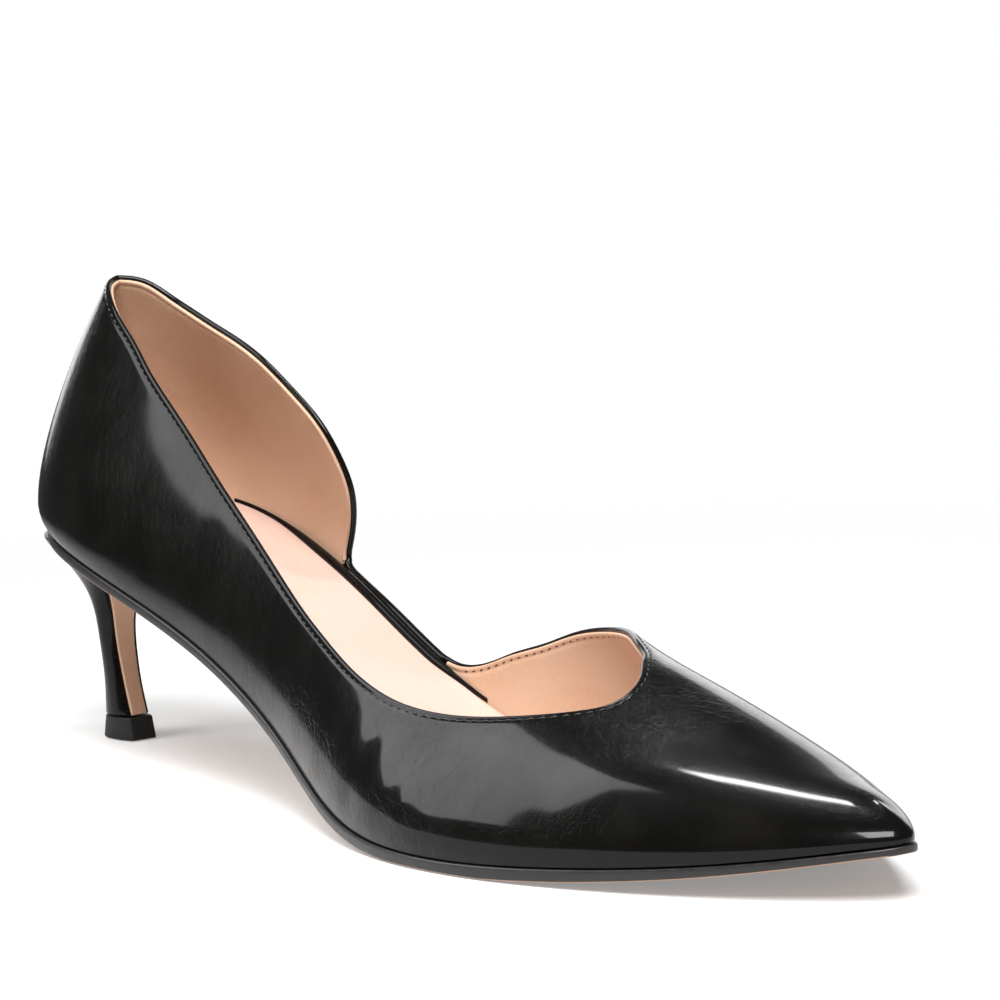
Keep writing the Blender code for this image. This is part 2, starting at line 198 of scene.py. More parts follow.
# Heel sections: share of the height to the seat, back x, breast x, half width of the breast, half
# width at the widest
HEEL = (
    (0.00, -5.2, 4.1, 2.5, 3.7),
    (0.14, -4.9, 2.4, 2.5, 3.5),
    (0.27, -4.9, 1.2, 2.6, 3.6),
    (0.40, -5.2, 0.4, 2.8, 3.9),
    (0.55, -5.9, 0.4, 3.3, 4.6),
    (0.67, -7.2, 1.5, 4.8, 6.3),
    (0.78, -8.9, 4.0, 7.9, 9.5),
    (0.88, -10.2, 8.4, 12.2, 13.8),
    (0.95, -10.8, 13.4, 16.2, 17.6),
    (1.00, -11.0, 18.0, 18.8, 20.2),
)
# Lift outline: back x, front x, half width of the front, half width at the widest
LIFT_FOOT = (-6.2, 6.2, 2.7, 4.2)
LIFT_HEAD = (-5.3, 5.2, 2.6, 3.8)

# Soft troughs and ridges pressed into the outer leather: from x, z to x, z on one side (-1 outer,
# 1 inner), depth (negative for a ridge) and half width
CREASES = (
    (118.0, 8.0, 124.0, 19.0, -1, 0.16, 3.4),
    (131.0, 6.0, 136.0, 20.0, -1, 0.20, 3.0),
    (144.0, 5.0, 147.0, 17.0, -1, 0.16, 2.8),
    (126.0, 22.0, 140.0, 25.0, -1, -0.12, 3.2),
    (152.0, 9.0, 163.0, 15.0, -1, 0.12, 3.2),
    (30.0, 48.0, 44.0, 56.0, -1, 0.12, 4.0),
    (48.0, 40.0, 66.0, 47.0, -1, 0.14, 4.2),
    (60.0, 30.0, 80.0, 34.0, -1, -0.12, 4.6),
    (20.0, 62.0, 32.0, 72.0, -1, 0.10, 4.0),
    (140.0, 10.0, 150.0, 20.0, 1, 0.14, 3.0),
    (124.0, 9.0, 132.0, 22.0, 1, 0.12, 3.0),
    (16.0, 52.0, 34.0, 58.0, 1, 0.10, 4.0),
)

# Crest along the top of the toe: from x, y to x, y in plan, height and half width
TOE_CREST = (183.0, -27.5, 233.0, 0.5, 0.55, 6.6)

# Where the arch strip of the upper runs, between these stations it has no lining
STRIP_BACK = 51.5
STRIP_FRONT = 87.0
# Where the arch binding runs. Beyond the open arch, at both ends, it goes on as a thin black sliver between
# lining and sock: painted shade in that crevice.
BINDING_AND_SHADE_SLIVER_BACK = 12.0
BINDING_AND_SHADE_SLIVER_FRONT = 101.0

# Width of the band of leather below the top edge that has rows of its own
BAND = 4.2

# Mesh columns along the outer top edge, the inner top edge and the vamp line
LEATHER_COLUMNS = (150, 230, 72)
LINING_COLUMNS = (120, 190, 60)
STITCH_COLUMNS = (420, 640, 20)

# Camera of the photograph: degrees, millimetres and pixels of a square picture
PICTURE = 1000
SENSOR = 36.0
AZIMUTH = 54.10
ELEVATION = 7.54
ROLL = -2.65
DISTANCE = 833.47
FOCAL = 4579.32
CENTRE = (426.05, 557.36)
AIM = (106.5, -1.0, 45.0)

# Softboxes: name, place, aim and size in metres, watts, and roll in degrees
BALL = (0.165, -0.033, 0.015)
TOE_END = (0.218, -0.009, 0.016)
SOFTBOXES = (
    ("left", (-0.030, -0.158, 0.222), BALL, (0.17, 0.31), 0.70, 38.0),
    ("strip", (0.076, 0.070, 0.272), TOE_END, (0.075, 0.020), 0.19, 0.0),
    ("behind", (-0.85, 0.80, 0.27), (0.19, 0.0, 0.02), (1.5, 0.46), 4.0, 0.0),
    ("fill", (0.95, -0.55, 1.35), (0.10, 0.0, 0.03), (0.95, 0.95), 48.0, 0.0),
)


# The last

def spline(knots, values):
    """Natural cubic spline through the knots, as a function of the station."""
    knots = np.asarray(knots, float)
    values = np.asarray(values, float)
    step = np.diff(knots)
    count = len(knots)
    matrix = np.eye(count)
    right = np.zeros(count)
    for i in range(1, count - 1):
        matrix[i, i - 1:i + 2] = step[i - 1], 2 * (step[i - 1] + step[i]), step[i]
        right[i] = 6 * ((values[i + 1] - values[i]) / step[i] - (values[i] - values[i - 1]) / step[i - 1])
    bend = np.linalg.solve(matrix, right)

    def at(where):
        where = np.asarray(where, float)
        i = np.clip(np.searchsorted(knots, where) - 1, 0, count - 2)
        low = where - knots[i]
        high = knots[i + 1] - where
        h = step[i]
        curve = (bend[i] * high ** 3 + bend[i + 1] * low ** 3) / (6 * h)
        curve = curve + (values[i] / h - bend[i] * h / 6) * high
        return curve + (values[i + 1] / h - bend[i + 1] * h / 6) * low

    return at


def turn_of(x):
    """Station x as a turn between 0 at the back and 1 at the toe, so that both ends come out round."""
    share = (np.asarray(x, float) - BACK) / (TOE - BACK)
    return np.arccos(np.clip(1 - 2 * share, -1, 1)) / np.pi


def x_of(turn):
    return BACK + (TOE - BACK) * (1 - np.cos(np.pi * np.asarray(turn, float))) / 2


def table(rows):
    rows = np.array(rows, float)
    turns = turn_of(rows[:, 0])
    return [spline(turns, rows[:, k]) for k in range(1, rows.shape[1])]


REACH_OUTER, REACH_INNER, FEATHER_Z = table(FEATHER)
SECTION_AT = table(SECTION)


def smooth_step(value):
    value = np.clip(value, 0, 1)
    return value * value * (3 - 2 * value)


def soft_ramp(x):
    return FAN_SOFT * np.logaddexp(0, x / FAN_SOFT)


def last_point(turn, rise):
    """Point of the upper's outer face. rise runs 0..1 up the outer side and 1..2 down the inner."""
    turn = np.asarray(turn, float)
    rise = np.asarray(rise, float)
    inner = rise > 1
    u = np.where(inner, 2 - rise, rise)
    x = x_of(turn)
    outer_y = -REACH_OUTER(turn)
    inner_y = REACH_INNER(turn)
    ridge_z, swell_out, swell_in, low_out, low_in, keep, lean, ridge_y = (f(turn) for f in SECTION_AT)
    y = np.where(inner, inner_y, outer_y)
    swell = np.where(inner, swell_in, swell_out)
    low = np.where(inner, low_in, low_out)
    foot_z = FEATHER_Z(turn)
    axis = FAN_BACK + soft_ramp(x - FAN_BACK) - soft_ramp(x - FAN_FRONT)
    dx = x - axis
    dy = y - ridge_y
    reach = np.hypot(dx, dy) + 1e-9
    mean = (np.hypot(dx, outer_y - ridge_y) + np.hypot(dx, inner_y - ridge_y)) / 2
    height = ridge_z - foot_z
    b0 = (1 - u) ** 3
    b1 = 3 * u * (1 - u) ** 2
    b2 = 3 * u * u * (1 - u)
    b3 = u ** 3
    out = b0 * reach + b1 * (reach + swell) + b2 * keep * mean
    tilt = TOE_SLOPE * np.clip(dx / reach, 0, 1) * keep * mean
    up = (b1 * low + b2 + b3) * height - b2 * tilt
    point = (axis + dx / reach * out + lean * up, ridge_y + dy / reach * out, foot_z + up)
    return np.stack(np.broadcast_arrays(*point), -1)


def last_steps(turn, rise):
    """How last_point moves per unit of turn and per unit of rise."""
    turn = np.clip(np.asarray(turn, float), 0.0008, 0.9992)
    rise = np.clip(np.asarray(rise, float), 0.0008, 1.9992)
    step = 0.0006
    along = (last_point(turn + step, rise) - last_point(turn - step, rise)) / (2 * step)
    around = (last_point(turn, rise + step) - last_point(turn, rise - step)) / (2 * step)
    return along, around


def side_normal(turn, rise):
    """Outward unit normal of last_point. Across the ridge it turns from one side's to the other's."""
    share = np.clip((rise - 1) / (2 * RIDGE_SOFT) + 0.5, 0, 1)[..., None]
    normals = []
    for side in (np.minimum(rise, 1 - RIDGE_SOFT), np.maximum(rise, 1 + RIDGE_SOFT)):
        normal = np.cross(*last_steps(turn, side))
        normals.append(normal / np.linalg.norm(normal, axis=-1, keepdims=True))
    normal = normals[0] * (1 - share) + normals[1] * share
    return normal / np.linalg.norm(normal, axis=-1, keepdims=True)


def last_normal(turn, rise):
    """Outward unit normal of last_point, the same for both sides at the centre back and the toe."""
    turn = np.asarray(turn, float)
    rise = np.asarray(rise, float)
    normals = [side_normal(turn, side) for side in (rise, 2 - rise)]
    end = np.clip(1 - np.minimum(turn, 1 - turn) / 0.001, 0, 1)[..., None]
    return normals[0] * (1 - end / 2) + normals[1] * end / 2


def seat_tuck(turn, rise):
    """How far the leather is drawn in under the heel seat, just above the sole."""
    low = np.clip(1 - np.minimum(rise, 2 - rise) / SEAT_TUCK_RISE, 0, 1)
    return SEAT_TUCK * low ** 1.7 * smooth_step(1 - (x_of(turn) - BACK) / SEAT_TUCK_LENGTH)


def wall_point(turn, rise, depth):
    """Point at a depth inside the outer face. At the bottom edge the depth is taken level."""
    turn, rise = np.broadcast_arrays(np.asarray(turn, float), np.asarray(rise, float))
    depth = np.asarray(depth, float) + seat_tuck(turn, rise)
    normal = last_normal(turn, rise)
    low = np.clip(np.minimum(rise, 2 - rise) / 0.03, 0, 1)[..., None]
    level = normal * np.array((1.0, 1.0, 0.0))
    level /= np.linalg.norm(level, axis=-1, keepdims=True) + 1e-9
    mixed = normal * low + level * (1 - low)
    mixed /= np.linalg.norm(mixed, axis=-1, keepdims=True)
    return last_point(turn, rise) - depth[..., None] * mixed


def path(knots, count, foot_rise, turn_weight=250.0, curved=True):
    """Rows of (top turn, rise, foot turn...) along a table of top-edge knots, closer at the round ends."""
    knots = np.array(knots, float)
    knots[:, 0] = turn_of(knots[:, 0])
    knots[:, 2:] = turn_of(knots[:, 2:])
    edge = last_point(knots[:, 0], knots[:, 1])
    run = np.concatenate(([0], np.cumsum(np.linalg.norm(np.diff(edge, axis=0), axis=1))))
    fine = np.linspace(0, run[-1], 40 * count + 1)
    dense = np.stack([np.interp(fine, run, knots[:, k]) for k in range(knots.shape[1])], 1)
    if curved:
        dense[:, :2] = np.stack([spline(run, knots[:, k])(fine) for k in (0, 1)], 1)
    edge = last_point(dense[:, 0], dense[:, 1])
    foot = last_point(dense[:, 2], np.full(len(dense), foot_rise))
    step = np.linalg.norm(np.diff(edge, axis=0), axis=1) + np.linalg.norm(np.diff(foot, axis=0), axis=1) / 2
    step += turn_weight * np.abs(np.diff(dense[:, 2]))
    real = np.concatenate(([0], np.cumsum(step)))
    even = np.linspace(0, real[-1], count + 1)
    rows = np.stack([np.interp(even, real, dense[:, k]) for k in range(dense.shape[1])], 1)
    rows[0] = knots[0]
    rows[-1] = knots[-1]
    rows[:, 0] = np.clip(rows[:, 0], 0, 1)
    rows[:, 2:] = np.clip(rows[:, 2:], 0, 1)
    return rows


def crease_depth(points, side):
    """Depth of the soft troughs at points of one side of the leather."""
    total = np.zeros(points.shape[:-1])
    for x0, z0, x1, z1, crease_side, depth, width in CREASES:
        if crease_side != side:
            continue
        run = np.array((x1 - x0, z1 - z0))
        offset = np.stack((points[..., 0] - x0, points[..., 2] - z0), -1)
        share = np.clip(offset @ run / (run @ run), 0, 1)
        away = np.linalg.norm(offset - share[..., None] * run, axis=-1)
        total += depth * np.exp(-(away / width) ** 2)
    x0, y0, x1, y1, height, width = TOE_CREST
    run = np.array((x1 - x0, y1 - y0))
    offset = np.stack((points[..., 0] - x0, points[..., 1] - y0), -1)
    share = offset @ run / (run @ run)
    away = np.linalg.norm(offset - np.clip(share, 0, 1)[..., None] * run, axis=-1)
    ends = smooth_step(share / 0.25 + 0.5) * smooth_step((1.05 - share) / 0.2)
    return total - height * ends * np.exp(-(away / width) ** 2)


# The top edge, and the cuts of leather that hang from it

class TopEdge:
    """The top edge round the opening, with the step across the leather at each of its columns."""

    def __init__(self, outer_count, inner_count, vamp_count):
        self.outer = path(TOP_OUTER, outer_count, 0.0)
        self.inner = path(TOP_INNER, inner_count, 2.0)
        edge = [last_point(side[:, 0], side[:, 1]) for side in (self.outer, self.inner)]
        loop = np.concatenate((edge[0], edge[1][::-1][1:-1]))
        run = np.roll(loop, -1, axis=0) - np.roll(loop, 1, axis=0)
        run /= np.linalg.norm(run, axis=1, keepdims=True)
        count = len(self.outer)
        runs = (run[:count], np.concatenate((run[:1], run[count - 1:][::-1])))
        self.sides = []
        for rows, side_run in zip((self.outer, self.inner), runs):
            normal = last_normal(rows[:, 0], rows[:, 1])
            down = np.cross(side_run, normal)
            down /= np.linalg.norm(down, axis=1, keepdims=True)
            along, around = last_steps(rows[:, 0], rows[:, 1])
            aa, ab, bb = ((p * q).sum(1) for p, q in ((along, along), (along, around), (around, around)))
            ad, bd = ((p * down).sum(1) for p in (along, around))
            det = aa * bb - ab * ab
            step = np.stack(((ad * bb - bd * ab) / det, (bd * aa - ad * ab) / det), 1)
            step[0] = 0.0, bd[0] / bb[0]
            foot_rise = 0.0 if rows is self.outer else 2.0
            foot = last_point(rows[:, 2], np.full(len(rows), foot_rise))
            length = np.linalg.norm(foot - last_point(rows[:, 0], rows[:, 1]), axis=1)
            reach = np.minimum(BAND, 0.62 * length)
            self.sides.append((rows, step, reach, foot_rise))
        start = self.sides[0][0][-1, :2] + self.sides[0][1][-1] * self.sides[0][2][-1]
        line = [(float(x_of(start[0])), float(start[1]), 180.0, 187.5)]
        line += [knot for knot in VAMP_LINE if knot[0] > line[0][0] + 4.0]
        self.vamp = path(line, vamp_count, 0.0, 1500.0, False)
        self.vamp[0, :2] = start

    def across(self, side, distance):
        """(turn, rise) at a distance below the edge in each column; distance may be an array by column."""
        rows, step, _, _ = self.sides[side]
        distance = np.asarray(distance, float)
        turn = rows[:, 0] + step[:, 0] * distance
        return np.clip(turn, 0, 1), rows[:, 1] + step[:, 1] * distance

    def skirt(self, side, shares):
        """(turn, rise) of the columns from the bottom edge up to the band, and on over the vamp."""
        rows, _, reach, foot_rise = self.sides[side]
        top_turn, top_rise = self.across(side, reach)
        top = np.stack((top_turn, top_rise, rows[:, 2]), 1)
        seam = self.vamp[1:, (0, 1, 2 + side)]
        rows = np.concatenate((top, seam))
        turn = rows[:, 2:3] + (rows[:, 0:1] - rows[:, 2:3]) * shares[None, :]
        rise = foot_rise + (rows[:, 1:2] - foot_rise) * shares[None, :]
        return turn, rise


def strip_share(x, side):
    """1 along the low strip of the arch, 0 elsewhere, for columns with feet at station x."""
    if side == 0:
        return np.zeros_like(x)
    return smooth_step((x - STRIP_BACK + 1.5) / 1.5) * smooth_step((STRIP_FRONT + 2.0 - x) / 2.0)


# Mesh work

def deselect():
    if bpy.context.object and bpy.context.object.mode != "OBJECT":
        bpy.ops.object.mode_set(mode="OBJECT")
    bpy.ops.object.select_all(action="DESELECT")


def alone(piece):
    """Makes a piece the only selected object, and the active one."""
    deselect()
    piece.select_set(True)
    bpy.context.view_layer.objects.active = piece


def shaped_grid(name, points):
    """A grid primitive with a vertex for each point, laid on the points (millimetres, column by row)."""
    wide, tall = points.shape[:2]
    deselect()
    bpy.ops.mesh.primitive_grid_add(x_subdivisions=wide - 1, y_subdivisions=tall - 1, size=2.0)
    piece = bpy.context.object
    piece.name = name
    piece.data.name = name
    flat = np.empty(len(piece.data.vertices) * 3)
    piece.data.vertices.foreach_get("co", flat)
    flat = flat.reshape(-1, 3)
    i = np.rint((flat[:, 0] + 1) / 2 * (wide - 1)).astype(int)
    j = np.rint((flat[:, 1] + 1) / 2 * (tall - 1)).astype(int)
    piece.data.vertices.foreach_set("co", (points[i, j] * MM).ravel())
    piece.data.update()
    return piece


def joined(name, parts):
    deselect()
    for part in parts:
        part.select_set(True)
    bpy.context.view_layer.objects.active = parts[0]
    if len(parts) > 1:
        bpy.ops.object.join()
    piece = bpy.context.object
    piece.name = name
    piece.data.name = name
    return piece


def close_up(piece, weld, fill):
    """Welds a piece's doubles, fills its open ends if asked and turns its faces outward."""
    alone(piece)
    bpy.ops.object.mode_set(mode="EDIT")
    bpy.ops.mesh.select_all(action="SELECT")
    bpy.ops.mesh.remove_doubles(threshold=weld * MM)
    bpy.ops.mesh.dissolve_degenerate(threshold=weld * MM)
    if fill:
        bpy.ops.mesh.select_all(action="SELECT")
        bpy.ops.mesh.fill_holes(sides=0)
    bpy.ops.mesh.select_all(action="SELECT")
    bpy.ops.mesh.normals_make_consistent(inside=False)
    bpy.ops.object.mode_set(mode="OBJECT")
    edges = open_edges(piece)
    if edges:
        raise RuntimeError(f"{piece.name} has {edges} open edges")


def open_edges(piece):
    """How many edges of a mesh don't have two faces."""
    count = np.zeros(len(piece.data.edges), int)
    edge_of_loop = np.empty(len(piece.data.loops), int)
    piece.data.loops.foreach_get("edge_index", edge_of_loop)
    np.add.at(count, edge_of_loop, 1)
    return int((count != 2).sum())


def bevel_sharp(piece, width, segments):
    """Rounds a piece's sharp edges with an applied modifier."""
    alone(piece)
    rounding = piece.modifiers.new("rounding", "BEVEL")
    rounding.width = width * MM
    rounding.segments = segments
    rounding.limit_method = "ANGLE"
    rounding.angle_limit = math.radians(50.0)
    bpy.ops.object.modifier_apply(modifier=rounding.name)


def finished(piece, looks, nodes=(), weld=0.004, fill=False, bevel=None, degrees=40.0):
    """Closes, rounds and smooths a piece, and gives it its materials and its body.

    nodes are the ones that it stands for and bevel is a width and a number of segments.
    """
    close_up(piece, weld, fill)
    if bevel:
        bevel_sharp(piece, *bevel)
    alone(piece)
    bpy.ops.object.shade_smooth_by_angle(angle=math.radians(degrees))
    piece.data.materials.clear()
    for name in looks:
        piece.data.materials.append(look(name))
    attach(piece, "root")
    if nodes:
        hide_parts(*nodes)


def paint_faces(piece, rule):
    """Sets each face's material index by a rule on its centre and normal (millimetres)."""
    for face in piece.data.polygons:
        face.material_index = rule(face.center / MM, face.normal)


# Materials

class Wire:
    """A socket in sums: an operator on it adds the Math node that works it out."""

    def __init__(self, recipe, socket):
        self.recipe = recipe
        self.socket = socket

    def __add__(self, other):
        return self.recipe.maths("ADD", self, other)

    def __sub__(self, other):
        return self.recipe.maths("SUBTRACT", self, other)

    def __rsub__(self, other):
        return self.recipe.maths("SUBTRACT", other, self)

    def __mul__(self, other):
        return self.recipe.maths("MULTIPLY", self, other)


class Recipe:
    """A material under way. Its lengths are in millimetres."""

    def __init__(self, name):
        self.material = bpy.data.materials.new(name)
        self.material.use_nodes = True
        self.tree = self.material.node_tree
        self.tree.nodes.clear()
        self.output = self.tree.nodes.new("ShaderNodeOutputMaterial")

    def node(self, kind, settings, sockets, output=0):
        made = self.tree.nodes.new(kind)
        for name, value in settings.items():
            if name == "stops":
                ramp = made.color_ramp
                for k, (place, colour) in enumerate(value):
                    stop = ramp.elements[k] if k < 2 else ramp.elements.new(place)
                    stop.position = place
                    stop.color = colour
            else:
                setattr(made, name, value)
        for name, value in sockets.items():
            if isinstance(value, Wire):
                self.tree.links.new(value.socket, made.inputs[name])
            else:
                made.inputs[name].default_value = value
        return Wire(self, made.outputs[output])

    def maths(self, operation, first, second):
        return self.node("ShaderNodeMath", {"operation": operation}, {0: first, 1: second})

    def place(self, scale=(1.0, 1.0, 1.0), turn=(0.0, 0.0, 0.0)):
        """Object coordinates in millimetres, turned, then stretched by the scale."""
        where = self.node("ShaderNodeTexCoord", {}, {}, "Object")
        scale = tuple(value / MM for value in scale)
        return self.node("ShaderNodeMapping", {}, {"Vector": where, "Rotation": turn, "Scale": scale})

    def noise(self, where, scale, detail=3.0, roughness=0.55, distortion=0.0):
        sockets = {
            "Vector": where, "Scale": scale, "Detail": detail, "Roughness": roughness,
            "Distortion": distortion,
        }
        return self.node("ShaderNodeTexNoise", {}, sockets, "Fac")

    def cells(self, where, scale, feature="DISTANCE_TO_EDGE", randomness=1.0):
        sockets = {"Vector": where, "Scale": scale, "Randomness": randomness}
        return self.node("ShaderNodeTexVoronoi", {"feature": feature}, sockets, "Distance")

    def between(self, value, low, high, out_low=0.0, out_high=1.0):
        """The value's way from low to high, clamped, as a smooth step from out_low to out_high."""
        sockets = {"Value": value, "From Min": low, "From Max": high, "To Min": out_low, "To Max": out_high}
        return self.node("ShaderNodeMapRange", {"interpolation_type": "SMOOTHSTEP"}, sockets)

    def blend(self, factor, first, second):
        """Two colours mixed by a factor."""
        settings = {"data_type": "RGBA", "clamp_factor": True}
        return self.node("ShaderNodeMix", settings, {0: factor, 6: first, 7: second}, 2)

    def shifted(self, where, amount, scale):
        """Coordinates pushed about by a noise, for pattern lines that wander."""
        push = self.node("ShaderNodeTexNoise", {}, {"Vector": where, "Scale": scale, "Detail": 2.0}, "Color")
        push = self.node("ShaderNodeVectorMath", {"operation": "SUBTRACT"}, {0: push, 1: (0.5, 0.5, 0.5)})
        push = self.node("ShaderNodeVectorMath", {"operation": "SCALE"}, {0: push, "Scale": amount})
        return self.node("ShaderNodeVectorMath", {"operation": "ADD"}, {0: where, 1: push})

    def finish(self, height, **sockets):
        """Principled surface with a relief in millimetres."""
        relief = {"Strength": 1.0, "Distance": MM, "Height": height}
        named = {"Normal": self.node("ShaderNodeBump", {}, relief, "Normal")}
        for name, value in sockets.items():
            named[name.replace("_", " ").title().replace("Ior", "IOR")] = value
        surface = self.node("ShaderNodeBsdfPrincipled", {}, named)
        self.tree.links.new(surface.socket, self.output.inputs["Surface"])
        return self.material


def opaque(colour):
    return (*tuple(colour)[:3], 1.0)


def toned(colour, factor, lift=0.0):
    """A lighter or darker tone of a colour."""
    return opaque([min(1.0, value * factor + lift) for value in tuple(colour)[:3]])


def leather_look(name, colour, crinkle, streak, gloss):
    """Smooth black leather: pore grain, wandering crinkles, fine drawn streaks and a waxed gloss."""
    r = Recipe(name)
    where = r.place()
    drawn = r.place(scale=(0.75, 0.75, 0.16), turn=(0.0, math.radians(24.0), 0.0))
    grain = r.cells(r.shifted(where, 0.5, 1.2), 1.5)
    pores = r.between(grain, 0.0, 0.16)
    along = r.node("ShaderNodeSeparateXYZ", {}, {0: where}, "X")
    patches = r.between(r.noise(where, 0.045, 2.0), 0.40, 0.62) * r.between(along, 176.0, 204.0, 1.0, 0.15)
    patches = patches * r.between(along, 90.0, 128.0, 0.2, 1.0)
    lines = r.cells(r.shifted(where, 3.0, 0.35), 0.30)
    cracks = r.between(lines, 0.0, 0.075)
    small = r.cells(r.shifted(where, 1.4, 0.7), 0.62)
    small_cracks = r.between(small, 0.0, 0.10)
    soft = r.noise(where, 0.16, 3.0, 0.5)
    streaks = r.noise(drawn, 1.0, 4.0, 0.6, 0.4)
    height = pores * 0.009 + cracks * patches * (0.050 * crinkle) + small_cracks * patches * (0.024 * crinkle)
    calm = r.between(along, 158.0, 196.0, 1.0, 0.28)
    height = height + (soft * 0.24 + streaks * r.between(along, 70.0, 140.0, 0.150, 0.065) * streak) * calm
    shade = r.noise(where, 0.09, 3.0)
    base = r.blend(r.between(shade, 0.35, 0.7), opaque(colour), toned(colour, 1.5, 0.001))
    roughness = r.between(r.noise(where, 0.12, 4.0), 0.3, 0.7, 0.32 - 0.15 * gloss, 0.42 - 0.19 * gloss)
    roughness = roughness + (1.0 - pores) * 0.02
    coat = r.between(shade, 0.25, 0.75, 0.14 + 0.42 * gloss, 0.10 + 0.32 * gloss)
    return r.finish(
        height, base_color=base, roughness=roughness, specular_ior_level=0.04,
        coat_weight=coat, coat_roughness=0.09, coat_ior=1.45,
    )


def lining_look(name, colour, warm):
    """Unglazed lining leather: a soft nap, faint pores and a warmer tone in patches."""
    r = Recipe(name)
    where = r.place()
    nap = r.noise(where, 1.1, 4.0, 0.65)
    pores = r.between(r.cells(r.shifted(where, 0.4, 1.5), 1.7), 0.0, 0.2)
    wide = r.noise(where, 0.05, 3.0, 0.5)
    base = r.blend(r.between(wide, 0.35, 0.68), opaque(colour), opaque(warm))
    base = r.blend(r.between(nap, 0.45, 0.8) * 0.5, base, toned(colour, 1.12, 0.02))
    roughness = r.between(nap, 0.3, 0.7, 0.50, 0.66)
    height = pores * 0.008 + nap * 0.020 + r.noise(where, 0.14, 2.0) * 0.12
    return r.finish(height, base_color=base, roughness=roughness, specular_ior_level=0.35)


def sock_look(name, colour, warm):
    """Smooth sock leather over thin foam: fine even grain and a faint bloom."""
    r = Recipe(name)
    where = r.place()
    grain = r.between(r.cells(r.shifted(where, 0.35, 1.4), 2.0), 0.0, 0.2)
    cloud = r.noise(where, 0.06, 3.0, 0.5)
    base = r.blend(r.between(cloud, 0.3, 0.7), opaque(colour), opaque(warm))
    roughness = r.between(r.noise(where, 0.4, 3.0), 0.3, 0.7, 0.46, 0.58)
    height = grain * 0.010 + r.noise(where, 0.22, 3.0) * 0.07
    return r.finish(height, base_color=base, roughness=roughness, specular_ior_level=0.4)


def edge_look(name, colour):
    """Painted and burnished edge of the sole: fine lines along it under a soft shine."""
    r = Recipe(name)
    where = r.place(scale=(0.15, 0.15, 3.0))
    lines = r.noise(where, 1.0, 3.0)
    even = r.noise(r.place(), 0.5, 3.0)
    base = r.blend(even, opaque(colour), toned(colour, 2.2, 0.004))
    roughness = r.between(even, 0.3, 0.7, 0.34, 0.48)
    height = lines * 0.010 + even * 0.015
    return r.finish(height, base_color=base, roughness=roughness, coat_weight=0.2, coat_roughness=0.3)


def underside_look(name, colour, warm):
    """Tan outsole: buffed, with a faint speckle and broad clouds of tone."""
    r = Recipe(name)
    where = r.place()
    speck = r.noise(where, 1.6, 4.0, 0.7)
    wide = r.noise(where, 0.07, 3.0)
    base = r.blend(wide, opaque(colour), opaque(warm))
    base = r.blend(r.between(speck, 0.6, 0.8) * 0.35, base, toned(colour, 0.7))
    roughness = r.between(speck, 0.3, 0.7, 0.42, 0.60)
    return r.finish(speck * 0.015, base_color=base, roughness=roughness, specular_ior_level=0.4)


def rubber_look(name, colour):
    """Hard black rubber of the lift, matt with moulding specks."""
    r = Recipe(name)
    where = r.place()
    speck = r.noise(where, 2.4, 4.0, 0.7)
    base = r.blend(speck, opaque(colour), toned(colour, 2.0, 0.004))
    roughness = r.between(speck, 0.3, 0.7, 0.48, 0.62)
    return r.finish(speck * 0.02, base_color=base, roughness=roughness, specular_ior_level=0.4)


def thread_look(name, colour):
    """Twisted thread: fine slanting plies and a silky shine."""
    r = Recipe(name)
    where = r.place(scale=(3.0, 3.0, 6.0), turn=(0.6, 0.4, 0.2))
    ply = r.noise(where, 1.0, 2.0)
    base = r.blend(ply, opaque(colour), toned(colour, 2.6, 0.006))
    return r.finish(
        ply * 0.02, base_color=base, roughness=r.between(ply, 0.3, 0.7, 0.36, 0.52), specular_ior_level=0.5,
    )


def floor_look(name, colour):
    """Plain pale floor that thins out far from the shoe, into the plain background; near the shoe it stays
    partly see-through to the white background, which paints light into the shadows on it.
    """
    r = Recipe(name)
    where = r.node("ShaderNodeTexCoord", {}, {}, "Object")
    far = r.node("ShaderNodeVectorMath", {"operation": "LENGTH"}, {0: where}, "Value")
    tone = r.noise(r.place(), 0.01, 2.0)
    base = r.blend(tone, opaque(colour), toned(colour, 0.995))
    surface = r.node("ShaderNodeBsdfDiffuse", {}, {"Color": base})
    clear = r.node("ShaderNodeBsdfTransparent", {}, {})
    # Painted light: even near the shoe the floor is 28 % see-through onto the white background, so the
    # shadows on it come out fainter; far out it thins out fully.
    see_through_and_shadow_lift = r.between(far, 0.18, 0.46, 0.28, 1.0)
    mixed = r.node("ShaderNodeMixShader", {}, {0: see_through_and_shadow_lift, 1: surface, 2: clear})
    r.tree.links.new(mixed.socket, r.output.inputs["Surface"])
    return r.material


# Sizes and colours

def size_prop(name, description, default, low, high):
    return bpy.props.FloatProperty(name=name, description=description, default=default, min=low, max=high)


def colour_prop(name, description, default):
    return bpy.props.FloatVectorProperty(
        name=name, description=description, default=default, min=0.0, max=1.0, size=3, subtype="COLOR",
    )


